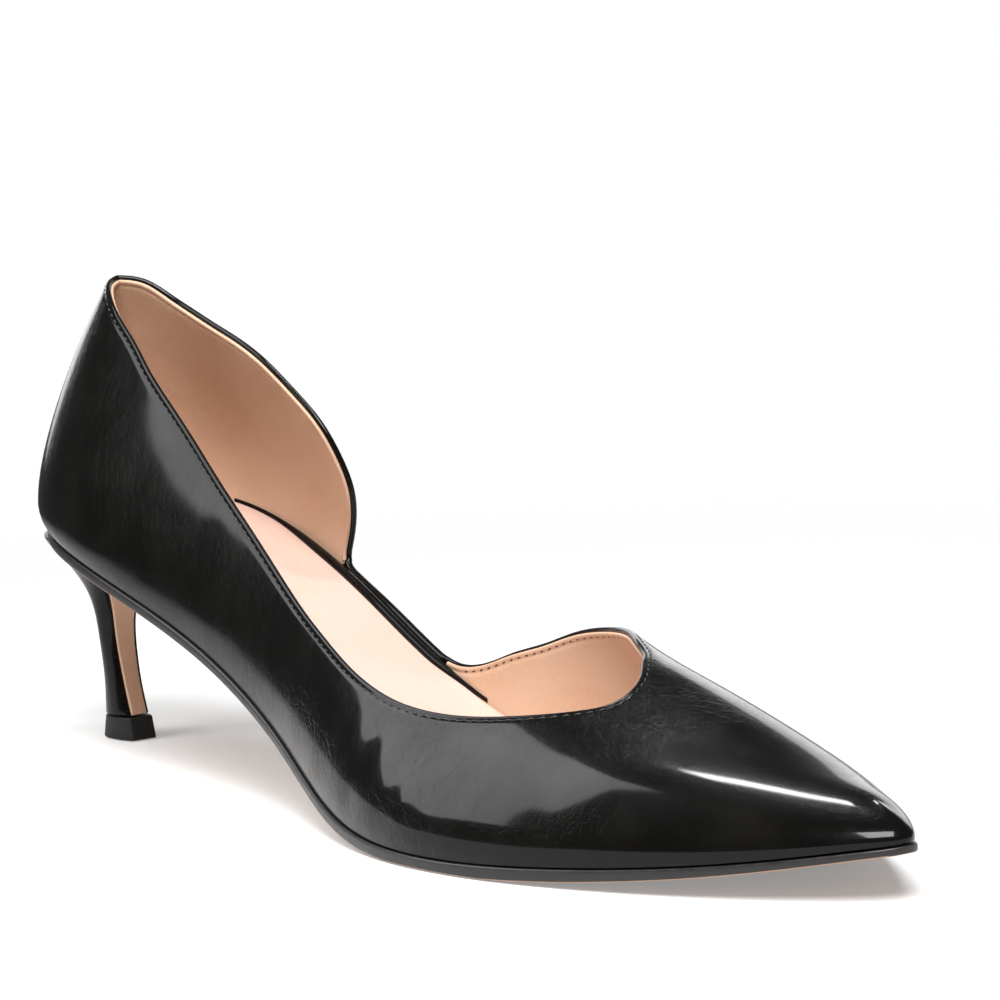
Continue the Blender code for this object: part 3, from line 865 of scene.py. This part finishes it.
class PumpSizes(bpy.types.PropertyGroup):
    """Sizes of the dressed shoe, in millimetres."""

    leather: size_prop("Leather", "Thickness of the outer leather with its fold, mm", 1.1, 0.8, 1.4)
    lining_drop: size_prop("Lining drop", "Drop of the lining's edge below the fold, mm", 0.42, 0.2, 1.0)
    stitch_inset: size_prop("Stitch inset", "Distance of the stitches below the top edge, mm", 1.25, 1.0, 3.0)
    stitch_pitch: size_prop("Stitch pitch", "Length of one stitch with its gap, mm", 2.1, 1.5, 4.0)
    stitch_length: size_prop("Stitch length", "Visible length of one stitch, mm", 1.45, 0.8, 3.0)
    thread: size_prop("Thread", "Thickness of the thread, mm", 0.34, 0.15, 0.6)
    binding: size_prop("Binding", "Width of the bound edge along the arch, mm", 2.1, 0.5, 2.5)
    cover_margin: size_prop("Cover margin", "Leather left bare beside the breast cover, mm", 0.75, 0.2, 2.0)
    sole_round: size_prop("Sole rounding", "Radius of the sole's edges, mm", 0.35, 0.1, 0.8)
    sock_crown: size_prop("Sock crown", "Rise of the sock between its edges, mm", 0.35, 0.0, 0.6)


class PumpColours(bpy.types.PropertyGroup):
    """Colours of the dressed shoe."""

    leather: colour_prop("Leather", "Outer leather, heel and binding", (0.0032, 0.0030, 0.0027))
    lining: colour_prop("Lining", "Lining leather", (0.59, 0.395, 0.275))
    lining_warm: colour_prop("Lining, warm", "Patches of the lining", (0.55, 0.350, 0.230))
    sock: colour_prop("Sock", "Sock on the insole", (0.66, 0.470, 0.400))
    sock_warm: colour_prop("Sock, warm", "Clouds on the sock", (0.63, 0.440, 0.365))
    sole_edge: colour_prop("Sole edge", "Painted edge of the sole", (0.008, 0.007, 0.007))
    underside: colour_prop("Underside", "Walking side of the sole", (0.50, 0.315, 0.215))
    breast: colour_prop("Breast cover", "Cover on the front of the heel", (0.70, 0.450, 0.310))
    lift: colour_prop("Lift", "Rubber of the lift", (0.007, 0.007, 0.007))
    floor: colour_prop("Floor", "Floor of the stage", (0.88, 0.875, 0.87))


def sizes():
    return bpy.context.scene.pump_sizes


def colours():
    return bpy.context.scene.pump_colours


def look(name):
    """A material by its name, made the first time that it is asked for."""
    known = bpy.data.materials.get(name)
    if known:
        return known
    c = colours()
    recipes = {
        "pump_leather": (leather_look, c.leather, 1.0, 1.0, 1.0),
        "heel_leather": (leather_look, c.leather, 0.25, 0.3, 0.6),
        "binding_leather": (leather_look, c.leather, 0.2, 0.2, 0.4),
        "lining_leather": (lining_look, c.lining, c.lining_warm),
        "sock_leather": (sock_look, c.sock, c.sock_warm),
        "sole_paint": (edge_look, c.sole_edge),
        "sole_tan": (underside_look, c.underside, toned(c.underside, 0.9)),
        "breast_tan": (underside_look, c.breast, toned(c.breast, 0.92)),
        "lift_rubber": (rubber_look, c.lift),
        "topline_thread": (thread_look, (0.010, 0.010, 0.012)),
        "stage_floor": (floor_look, c.floor),
    }
    make, *values = recipes[name]
    return make(name, *values)


# The upper's leather and its lining

BAND_STEPS = (1.0, 0.80, 0.64, 0.53, 0.46, 0.41, 0.37, 0.329, 0.29, 0.25, 0.21, 0.15, 0.07, 0.0)


def folded_shell(name, edge, depth_out, depth_in, drop, press_out, press_in, creased, keep=None):
    """A closed skin between two depths: a skirt outside and inside, and a rounded top edge.

    depth_out and depth_in give a column's depths from its feet stations and side; drop is how far
    the top stays below the edge; press_out and press_in give the extra depth at a distance below
    the edge. keep chooses the columns of the inner side, as (first, last) pairs.
    """
    shares = np.linspace(0, 1, 27)
    turns = np.linspace(0, np.pi, 9)
    parts = []
    for side in (0, 1):
        rows, _, reach, _ = edge.sides[side]
        crease_side = -1 if side == 0 else 1
        turn, rise = edge.skirt(side, shares)
        feet = x_of(turn[:, 0])
        outside = depth_out(feet, side)
        inside = depth_in(feet, side)
        outer = wall_point(turn, rise, outside[:, None] * np.ones_like(turn))
        if creased:
            depth = crease_depth(outer, crease_side) * smooth_step(rise_room(rise))
            outer = wall_point(turn, rise, outside[:, None] + depth)
        inner = wall_point(turn, rise, inside[:, None] * np.ones_like(turn))
        inner[:, 0, 2] = outer[:, 0, 2]
        band_rows = []
        columns = len(rows)
        radius = (inside[:columns] - outside[:columns]) / 2
        start = drop + radius
        for w in BAND_STEPS:
            distance = start + (reach - start) * w
            depth = outside[:columns] + press_out(distance, feet[:columns], side)
            band_rows.append((distance, depth, w))
        for angle in turns[1:-1]:
            distance = start - radius * np.sin(angle)
            band_rows.append((distance, outside[:columns] + radius * (1 - np.cos(angle)), 0.0))
        for w in BAND_STEPS[::-1]:
            distance = start + (reach - start) * w
            depth = inside[:columns] + press_in(distance, feet[:columns], side)
            band_rows.append((distance, depth, w))
        band = []
        for k, (distance, depth, w) in enumerate(band_rows):
            t, r = edge.across(side, distance)
            point = wall_point(t, r, depth)
            if creased and k < len(BAND_STEPS):
                extra = crease_depth(point, crease_side) * smooth_step(rise_room(r)) * w
                point = wall_point(t, r, depth + extra)
            band.append(point)
        band = np.stack(band, 1)
        band[:, 0] = outer[:columns, -1]
        band[:, -1] = inner[:columns, -1]
        sill = np.stack((inner[:, 0], outer[:, 0]), 1)
        spans = [(0, len(outer) - 1)]
        if keep and side == 1:
            spans = keep(feet, len(outer) - 1)
        for k, (first, last) in enumerate(spans):
            cut = slice(first, last + 1)
            label = f"{name}_{side}{k}"
            parts.append(shaped_grid(label + "_out", outer[cut]))
            parts.append(shaped_grid(label + "_in", inner[cut]))
            parts.append(shaped_grid(label + "_sill", sill[cut]))
            top = slice(first, min(last, columns - 1) + 1)
            if top.stop - top.start > 1:
                parts.append(shaped_grid(label + "_band", band[top]))
    return joined(name, parts)


def rise_room(rise):
    """0 at the bottom edge, 1 a little above it, so that troughs fade out at the sole."""
    return np.minimum(rise, 2 - rise) / 0.12


def no_press(distance, feet, side):
    return np.zeros_like(distance)


class PUMP_OT_upper(bpy.types.Operator):
    """Makes the outer leather with its folded top edge, lasted over the whole shoe"""

    bl_idname = "pump.upper"
    bl_label = "Upper leather"

    def execute(self, context):
        s = sizes()
        edge = TopEdge(*LEATHER_COLUMNS)

        def outside(feet, side):
            return np.zeros_like(feet)

        def inside(feet, side):
            return s.leather + (WALL - s.leather) * strip_share(feet, side)

        def press(distance, feet, side):
            groove = 0.20 * np.exp(-((distance - s.stitch_inset) / 0.42) ** 2)
            bead = -0.05 * np.exp(-((distance - 0.95) / 0.4) ** 2)
            return (groove + bead) * (1 - strip_share(feet, side))

        piece = folded_shell("upper_leather", edge, outside, inside, 0.0, press, no_press, True)
        finished(piece, ["pump_leather"], ["upper"], degrees=60.0)
        return {"FINISHED"}


class PUMP_OT_lining(bpy.types.Operator):
    """Makes the lining, glued inside the leather and open along the arch strip"""

    bl_idname = "pump.lining"
    bl_label = "Lining"

    def execute(self, context):
        s = sizes()
        edge = TopEdge(*LINING_COLUMNS)

        def outside(feet, side):
            return np.full_like(feet, s.leather + 0.03)

        def inside(feet, side):
            return np.full_like(feet, WALL)

        def press(distance, feet, side):
            groove = -0.16 * np.exp(-((distance - s.stitch_inset - 0.25) / 0.5) ** 2)
            puff = 0.10 * np.exp(-((distance - 1.1) / 0.35) ** 2)
            return groove + puff

        def spans(feet, last):
            back = int(np.argmax(feet > STRIP_BACK - 1.9))
            front = int(np.argmax(feet > STRIP_FRONT + 2.4))
            return [(0, back), (front, last)]

        drop = s.lining_drop
        piece = folded_shell("lining", edge, outside, inside, drop, no_press, press, False, spans)
        finished(piece, ["lining_leather"], fill=True, degrees=60.0)
        return {"FINISHED"}


# Stitches and binding

def frame_at(point, run, normal):
    """Matrix that stands a small piece on the leather: x along the run, z along the normal."""
    run = run / np.linalg.norm(run)
    normal = normal - run * (normal @ run)
    normal = normal / np.linalg.norm(normal)
    side = np.cross(normal, run)
    place = Matrix.Identity(4)
    for row in range(3):
        for column, axis in enumerate((run, side, normal)):
            place[row][column] = float(axis[row])
        place[row][3] = float(point[row]) * MM
    return place


def one_stitch():
    """A stitch that dives into the leather at both ends, at the origin along x."""
    s = sizes()
    deselect()
    bpy.ops.mesh.primitive_uv_sphere_add(segments=8, ring_count=6, radius=1.0)
    stitch = bpy.context.object
    bpy.ops.object.mode_set(mode="EDIT")
    bpy.ops.mesh.select_all(action="SELECT")
    turn_centre = (0.0, 0.0, 0.0)
    bpy.ops.transform.rotate(value=math.pi / 2, orient_axis="Y", center_override=turn_centre)
    half = s.stitch_length / 2 * MM
    thick = s.thread / 2 * MM
    bpy.ops.transform.resize(value=(half, thick, thick), center_override=turn_centre)
    bpy.ops.object.mode_set(mode="OBJECT")
    for vertex in stitch.data.vertices:
        vertex.co.z -= thick * 1.1 * (vertex.co.x / half) ** 2
    return stitch


def stitch_places(side, first_x, last_x, depth, face):
    """Even places along the stitch line of one side, between two foot stations."""
    s = sizes()
    edge = TopEdge(*STITCH_COLUMNS)
    rows, _, _, _ = edge.sides[side]
    turn, rise = edge.across(side, np.full(len(rows), s.stitch_inset))
    line = wall_point(turn, rise, np.full(len(rows), depth))
    normal = last_normal(turn, rise) * face
    feet = x_of(rows[:, 2])
    chosen = np.flatnonzero((feet >= first_x) & (feet <= last_x))
    line = line[chosen]
    normal = normal[chosen]
    run = np.concatenate(([0], np.cumsum(np.linalg.norm(np.diff(line, axis=0), axis=1))))
    count = int(run[-1] / s.stitch_pitch)

    def at(distance, values):
        return np.array([np.interp(distance, run, values[:, axis]) for axis in range(3)])

    places = []
    for k in range(count):
        middle = (k + 0.5) * run[-1] / count
        ahead = at(middle + 0.3, line) - at(middle - 0.3, line)
        up = at(middle, normal)
        slant = np.cross(up, ahead) * 0.12
        places.append(frame_at(at(middle, line), ahead + slant, up))
    return places


def repeated(name, pattern, places):
    """One piece with a copy of the pattern's mesh at each place; the pattern itself is removed."""
    count = len(pattern.data.vertices)
    points = np.empty(count * 3)
    pattern.data.vertices.foreach_get("co", points)
    points = np.concatenate((points.reshape(-1, 3), np.ones((count, 1))), 1)
    faces = [tuple(face.vertices) for face in pattern.data.polygons]
    all_points = np.concatenate([(points @ np.array(place).T)[:, :3] for place in places])
    all_faces = [tuple(v + k * count for v in face) for k in range(len(places)) for face in faces]
    mesh = bpy.data.meshes.new(name)
    mesh.from_pydata(all_points.tolist(), [], all_faces)
    bpy.data.objects.remove(pattern, do_unlink=True)
    piece = bpy.data.objects.new(name, mesh)
    bpy.context.collection.objects.link(piece)
    return piece


class PUMP_OT_stitches(bpy.types.Operator):
    """Sews the row of small stitches round the top edge, outside and inside the vamp"""

    bl_idname = "pump.stitches"
    bl_label = "Stitches"

    def execute(self, context):
        places = stitch_places(0, BACK - 1, TOE, 0.10, 1)
        places += stitch_places(1, BACK - 1, STRIP_BACK - 5.0, 0.10, 1)
        places += stitch_places(1, STRIP_FRONT + 5.0, TOE, 0.10, 1)
        inside = stitch_places(1, STRIP_FRONT + 6.0, TOE, WALL - 0.10, -1)
        for name, chosen in (("topline_stitches", places), ("vamp_stitches_inside", inside)):
            piece = repeated(name, one_stitch(), chosen)
            finished(piece, ["topline_thread"], weld=0.0001, degrees=80.0)
        return {"FINISHED"}


class PUMP_OT_binding(bpy.types.Operator):
    """Binds the inner edge of the insole along the arch with a narrow rolled strip; at both ends it runs on
    under the lining as a thin black sliver, painted shade in the crevice between lining and sock
    """

    bl_idname = "pump.binding"
    bl_label = "Arch binding and shade sliver"

    def execute(self, context):
        s = sizes()
        stations = np.linspace(turn_of(BINDING_AND_SHADE_SLIVER_BACK), turn_of(BINDING_AND_SHADE_SLIVER_FRONT), 91)
        x = x_of(stations)
        # Painted shade: towards both ends the strip narrows to a tenth of its width, a black sliver in the
        # crevice between lining and sock under the quarter and the vamp lining.
        fade = smooth_step((x - BINDING_AND_SHADE_SLIVER_BACK) / 34.0) * smooth_step((BINDING_AND_SHADE_SLIVER_FRONT - x) / 16.0)
        fade = 0.10 + 0.90 * fade
        climb = np.linspace(0, 0.5, 201)
        loops = []
        for turn, full in zip(stations, fade):
            heights = last_point(np.full_like(climb, turn), 2 - climb)[:, 2] - FEATHER_Z(turn)
            sock_u = np.interp(INSOLE_RISE, heights, climb)
            edge = wall_point(turn, 2 - sock_u, WALL + 0.05)
            normal = last_normal(turn, 2 - sock_u) * np.array((1.0, 1.0, 0.0))
            normal /= np.linalg.norm(normal)
            ring = []
            for angle in np.linspace(0, 2 * np.pi, 17):
                across = (1 - np.cos(angle)) / 2 * s.binding * full
                high = 0.30 + 0.75 * full
                lift = high * np.sin(angle) if angle < np.pi else 0.5 * np.sin(angle)
                ring.append(edge - normal * across + np.array((0.0, 0.0, lift)))
            loops.append(ring)
        piece = shaped_grid("arch_binding_and_shade_sliver", np.array(loops))
        finished(piece, ["binding_leather"], fill=True, degrees=50.0)
        return {"FINISHED"}


# Sock, sole and heel

def insole_rise(turn):
    """Thickness of the insole by station; it thins towards the toe."""
    return INSOLE_RISE - (INSOLE_RISE - INSOLE_TOE) * np.clip(1 - (TOE - x_of(turn)) / 35.0, 0, 1)


def edge_points(turn, depth, above=None):
    """Outer and inner edge points by station, inside the upper's outer face, above the bottom edge."""
    edges = []
    for side in (0.0, 2.0):
        u = np.zeros_like(turn)
        if above is not None:
            climb = np.linspace(0, 0.5, 101)
            for i, t in enumerate(turn):
                height = last_point(np.full_like(climb, t), np.abs(side - climb))[:, 2] - FEATHER_Z(t)
                u[i] = np.interp(above[i], height, climb)
        edges.append(wall_point(turn, np.abs(side - u), depth))
    return edges


def sole_thickness(x):
    rows = np.array(SOLE, float)
    return np.interp(x, rows[:, 0], rows[:, 1])


def sole_under(x):
    """Height of the sole's underside over station x; the tread at the ball is flat on the floor."""
    x = np.asarray(x, float)
    return np.maximum(FEATHER_Z(turn_of(np.clip(x, BACK, TOE))) - GAP - sole_thickness(x), 0.0)


def edge_shares(half, radius, inside_steps=7):
    """Shares across a plate, from one edge to the other, closer where the edges are rounded."""
    near = np.array((0.0, 0.08, 0.3, 0.62, 1.0, 1.6)) * radius
    near = near / np.maximum(2 * half, 1e-6)[..., None]
    near *= np.minimum(1.0, 0.30 / np.maximum(near[..., -1:], 1e-9))
    first = near[..., -1:]
    middle = first + (1 - 2 * first) * np.linspace(0, 1, inside_steps + 2)[1:-1]
    return np.concatenate((near, middle, 1 - near[..., ::-1]), -1)


def rounding_drop(shares, half, radius):
    """How far a plate's face lies below its level, by share across, where its edges are rounded."""
    away = np.minimum(shares, 1 - shares) * 2 * half
    short = np.clip(radius - away, 0, radius)
    return radius - np.sqrt(np.maximum(radius ** 2 - short ** 2, 0))


class PUMP_OT_sock(bpy.types.Operator):
    """Makes the insole with its sock: a soft crown between rounded edges"""

    bl_idname = "pump.sock"
    bl_label = "Sock"

    def execute(self, context):
        s = sizes()
        turn = np.linspace(0, 1, 161)
        depth = WALL + GAP + TOE_CLEAR * np.clip(1 - (TOE - x_of(turn)) / 15.0, 0, 1)
        thick = insole_rise(turn)
        low = edge_points(turn, depth)
        top = edge_points(turn, depth, thick)
        half = np.linalg.norm(top[1] - top[0], axis=1) / 2
        shares = edge_shares(half, SOCK_ROUND)
        rings = []
        for i in range(len(turn)):
            drop = rounding_drop(shares[i], half[i], min(SOCK_ROUND, 0.6 * thick[i], max(half[i], 1e-3)))
            crown = s.sock_crown * (1 - (2 * shares[i] - 1) ** 4) * np.clip(half[i] / 10, 0, 1)
            across = top[0][i] + (top[1][i] - top[0][i]) * shares[i][:, None]
            across[:, 2] = FEATHER_Z(turn[i]) + thick[i] - drop + crown
            under = low[1][i] + (low[0][i] - low[1][i]) * np.linspace(0, 1, 6)[:, None]
            under[:, 2] = FEATHER_Z(turn[i]) + 0.02
            rings.append(np.concatenate((across, under, across[:1])))
        piece = shaped_grid("insole_sock", np.array(rings))
        finished(piece, ["sock_leather"], ["insole"], 0.01, True, degrees=60.0)
        return {"FINISHED"}


class PUMP_OT_sole(bpy.types.Operator):
    """Makes the thin sole with its painted edge and tan underside"""

    bl_idname = "pump.sole"
    bl_label = "Sole"

    def execute(self, context):
        s = sizes()
        turn = np.linspace(0, 1, 181)
        proud = SOLE_PROUD * np.clip((x_of(turn) - BACK) / 70.0, 0, 1)
        outer, inner = edge_points(turn, -proud)
        half = np.linalg.norm(inner - outer, axis=1) / 2
        shares = edge_shares(half, s.sole_round)
        rings = []
        for i in range(len(turn)):
            high = float(FEATHER_Z(turn[i])) - GAP
            low = float(sole_under(x_of(turn[i])))
            radius = min(s.sole_round, 0.4 * (high - low), max(half[i], 1e-3))
            drop = rounding_drop(shares[i], half[i], radius)
            across = outer[i] + (inner[i] - outer[i]) * shares[i][:, None]
            top = across.copy()
            top[:, 2] = high - drop
            under = across[::-1].copy()
            under[:, 2] = low + drop[::-1]
            rings.append(np.concatenate((top, under, top[:1])))
        piece = shaped_grid("sole", np.array(rings))
        looks = ["sole_paint", "sole_tan"]
        finished(piece, looks, ["outsole"], 0.01, True, degrees=50.0)
        paint_faces(piece, lambda centre, normal: 1 if normal.z < -0.35 else 0)
        return {"FINISHED"}


def d_section(back, front, half_front, half_wide, steps=22, flat=6):
    """Plan outline of a D: flat front, round sides and back, as (x, y) from the outer front corner."""
    depth = front - back
    hull = np.array((
        (front, half_front),
        (front - 0.30 * depth, half_wide * 1.16),
        (back, half_wide * 1.08),
        (back, 0.0),
    ))
    t = np.linspace(0, 1, steps + 1)[:, None]
    weights = ((1 - t) ** 3, 3 * t * (1 - t) ** 2, 3 * t * t * (1 - t), t ** 3)
    side = sum(weight * corner for weight, corner in zip(weights, hull))
    outer = side * (1, -1)
    inner = side[::-1][1:]
    breast = np.linspace(inner[-1], outer[0], flat + 1)[1:]
    return np.concatenate((outer, inner, breast))


def heel_row(v):
    """Back, front and half widths of the heel at a share of its height, drawn in under the seat."""
    rows = np.array(HEEL, float)
    back, front, half_front, half_wide = (float(spline(rows[:, 0], rows[:, k])(v)) for k in range(1, 5))
    tuck = SEAT_TUCK * v ** 6
    return back + 1.5 * tuck, front, half_front - 0.6 * tuck, half_wide - 1.1 * tuck


def heel_height(v, x):
    low = LIFT_TOP + GAP
    return low + v * (sole_under(x) - GAP - low)


class PUMP_OT_heel(bpy.types.Operator):
    """Makes the covered heel, its breast cover and its lift"""

    bl_idname = "pump.heel"
    bl_label = "Heel"

    def execute(self, context):
        s = sizes()
        shares = np.concatenate((np.linspace(0, 0.6, 22)[:-1], np.linspace(0.6, 1.0, 30)))
        rings = []
        for v in shares:
            plan = d_section(*heel_row(v))
            rings.append([(x, y, float(heel_height(v, x))) for x, y in plan])
        heel = shaped_grid("heel_cover", np.array(rings))
        finished(heel, ["heel_leather"], ["heel"], fill=True, bevel=(0.28, 3))

        fronts = [heel_row(v)[1] for v in shares]
        line = np.array([(x, float(heel_height(v, x))) for v, x in zip(shares, fronts)])
        tangent = np.gradient(line, axis=0)
        tangent /= np.linalg.norm(tangent, axis=1)[:, None]
        normal = np.stack((tangent[:, 1], -tangent[:, 0]), 1)
        rings = []
        for k, v in enumerate(shares):
            half = heel_row(v)[2] - s.cover_margin
            near = line[k] + normal[k] * 0.05
            far = line[k] + normal[k] * 0.75
            ring = [(near[0], y, near[1]) for y in np.linspace(-half, half, 9)]
            ring += [(far[0], y, far[1]) for y in np.linspace(half * 0.97, -half * 0.97, 9)]
            rings.append(ring + ring[:1])
        cover = shaped_grid("heel_breast_cover", np.array(rings))
        finished(cover, ["breast_tan"], ["breast_cover"], fill=True, bevel=(0.15, 2))

        rings = []
        for share in np.linspace(0, 1, 7):
            plan = [a + (b - a) * share for a, b in zip(LIFT_FOOT, LIFT_HEAD)]
            rings.append([(x, y, share * LIFT_TOP) for x, y in d_section(*plan)])
        lift = shaped_grid("heel_lift", np.array(rings))
        finished(lift, ["lift_rubber"], ["top_lift"], fill=True, bevel=(0.25, 3))
        return {"FINISHED"}


# Stage

def camera_axes():
    """Right, up and back axes of the photograph's camera, and its place in metres."""
    a, e, r = (math.radians(value) for value in (AZIMUTH, ELEVATION, ROLL))
    back = np.array((math.sin(a) * math.cos(e), -math.cos(a) * math.cos(e), math.sin(e)))
    right = np.array((math.cos(a), math.sin(a), 0.0))
    up = np.cross(back, right)
    rolled_right = math.cos(r) * right + math.sin(r) * up
    rolled_up = -math.sin(r) * right + math.cos(r) * up
    middle = PICTURE / 2
    ahead = -back * FOCAL + rolled_right * (middle - CENTRE[0]) + rolled_up * (CENTRE[1] - middle)
    ahead /= np.linalg.norm(ahead)
    place = (np.array(AIM) + back * DISTANCE) * MM
    right = rolled_right - ahead * (rolled_right @ ahead)
    right /= np.linalg.norm(right)
    return right, np.cross(right, ahead), -ahead, place


def softbox(name, place, aim, size, watts, roll):
    """A rectangular softbox that faces its aim, rolled by degrees, and isn't seen by the camera."""
    data = bpy.data.lights.new(name, "AREA")
    data.shape = "RECTANGLE"
    data.size, data.size_y = size
    data.energy = watts
    light = bpy.data.objects.new(name, data)
    bpy.context.collection.objects.link(light)
    light.location = place
    light.rotation_mode = "QUATERNION"
    facing = (Vector(place) - Vector(aim)).to_track_quat("Z", "Y")
    light.rotation_quaternion = facing @ Quaternion((0.0, 0.0, 1.0), math.radians(roll))
    light.visible_camera = False


class PUMP_OT_stage(bpy.types.Operator):
    """Makes the camera of the photograph, the pale floor and the soft studio light"""

    bl_idname = "pump.stage"
    bl_label = "Stage"

    def execute(self, context):
        right, up, back, place = camera_axes()
        data = bpy.data.cameras.new("photo_camera")
        data.sensor_width = SENSOR
        data.lens = FOCAL * SENSOR / PICTURE
        data.clip_start = 0.01
        data.clip_end = 50.0
        camera = bpy.data.objects.new("photo_camera", data)
        bpy.context.collection.objects.link(camera)
        rows = [[right[k], up[k], back[k], place[k]] for k in range(3)]
        camera.matrix_world = Matrix(rows + [[0, 0, 0, 1]])
        context.scene.camera = camera

        deselect()
        bpy.ops.mesh.primitive_circle_add(vertices=96, radius=1.5, fill_type="NGON", location=(0.1, 0.0, 0.0))
        floor = bpy.context.object
        floor.name = "floor"
        bpy.ops.object.mode_set(mode="EDIT")
        bpy.ops.mesh.select_all(action="SELECT")
        bpy.ops.mesh.inset(thickness=0.6)
        bpy.ops.object.mode_set(mode="OBJECT")
        floor.location.z = -0.0002
        floor.data.materials.append(look("stage_floor"))

        for row in SOFTBOXES:
            softbox(*row)

        world = context.scene.world or bpy.data.worlds.new("studio")
        context.scene.world = world
        world.use_nodes = True
        tree = world.node_tree
        tree.nodes.clear()
        shown = tree.nodes.new("ShaderNodeBackground")
        shown.inputs["Color"].default_value = (1.0, 1.0, 1.0, 1.0)
        around = tree.nodes.new("ShaderNodeBackground")
        around.inputs["Color"].default_value = (1.0, 0.99, 0.98, 1.0)
        around.inputs["Strength"].default_value = 0.07
        rays = tree.nodes.new("ShaderNodeLightPath")
        mix = tree.nodes.new("ShaderNodeMixShader")
        output = tree.nodes.new("ShaderNodeOutputWorld")
        tree.links.new(rays.outputs["Is Camera Ray"], mix.inputs[0])
        tree.links.new(around.outputs[0], mix.inputs[1])
        tree.links.new(shown.outputs[0], mix.inputs[2])
        tree.links.new(mix.outputs[0], output.inputs["Surface"])
        context.scene.view_settings.view_transform = "Standard"
        return {"FINISHED"}


OPERATORS = (
    PUMP_OT_stage,
    PUMP_OT_upper,
    PUMP_OT_lining,
    PUMP_OT_stitches,
    PUMP_OT_binding,
    PUMP_OT_sock,
    PUMP_OT_sole,
    PUMP_OT_heel,
)


class PUMP_PT_panel(bpy.types.Panel):
    """Sizes, colours and the steps that make the pump"""

    bl_idname = "PUMP_PT_panel"
    bl_label = "Dorsay Pump"
    bl_space_type = "VIEW_3D"
    bl_region_type = "UI"
    bl_category = "Pump"

    def draw(self, context):
        for group in (context.scene.pump_sizes, context.scene.pump_colours):
            box = self.layout.box()
            for name in group.__annotations__:
                box.prop(group, name)
        for operator in OPERATORS:
            self.layout.operator(operator.bl_idname)


CLASSES = (PumpSizes, PumpColours, *OPERATORS, PUMP_PT_panel)


def register():
    for made in CLASSES:
        bpy.utils.register_class(made)
    bpy.types.Scene.pump_sizes = bpy.props.PointerProperty(type=PumpSizes)
    bpy.types.Scene.pump_colours = bpy.props.PointerProperty(type=PumpColours)


def unregister():
    del bpy.types.Scene.pump_colours
    del bpy.types.Scene.pump_sizes
    for made in reversed(CLASSES):
        bpy.utils.unregister_class(made)


def main():
    register()
    bpy.ops.pump.stage()
    bpy.ops.pump.upper()
    bpy.ops.pump.lining()
    bpy.ops.pump.stitches()
    bpy.ops.pump.binding()
    bpy.ops.pump.sock()
    bpy.ops.pump.sole()
    bpy.ops.pump.heel()


if __name__ == "__main__":
    main()
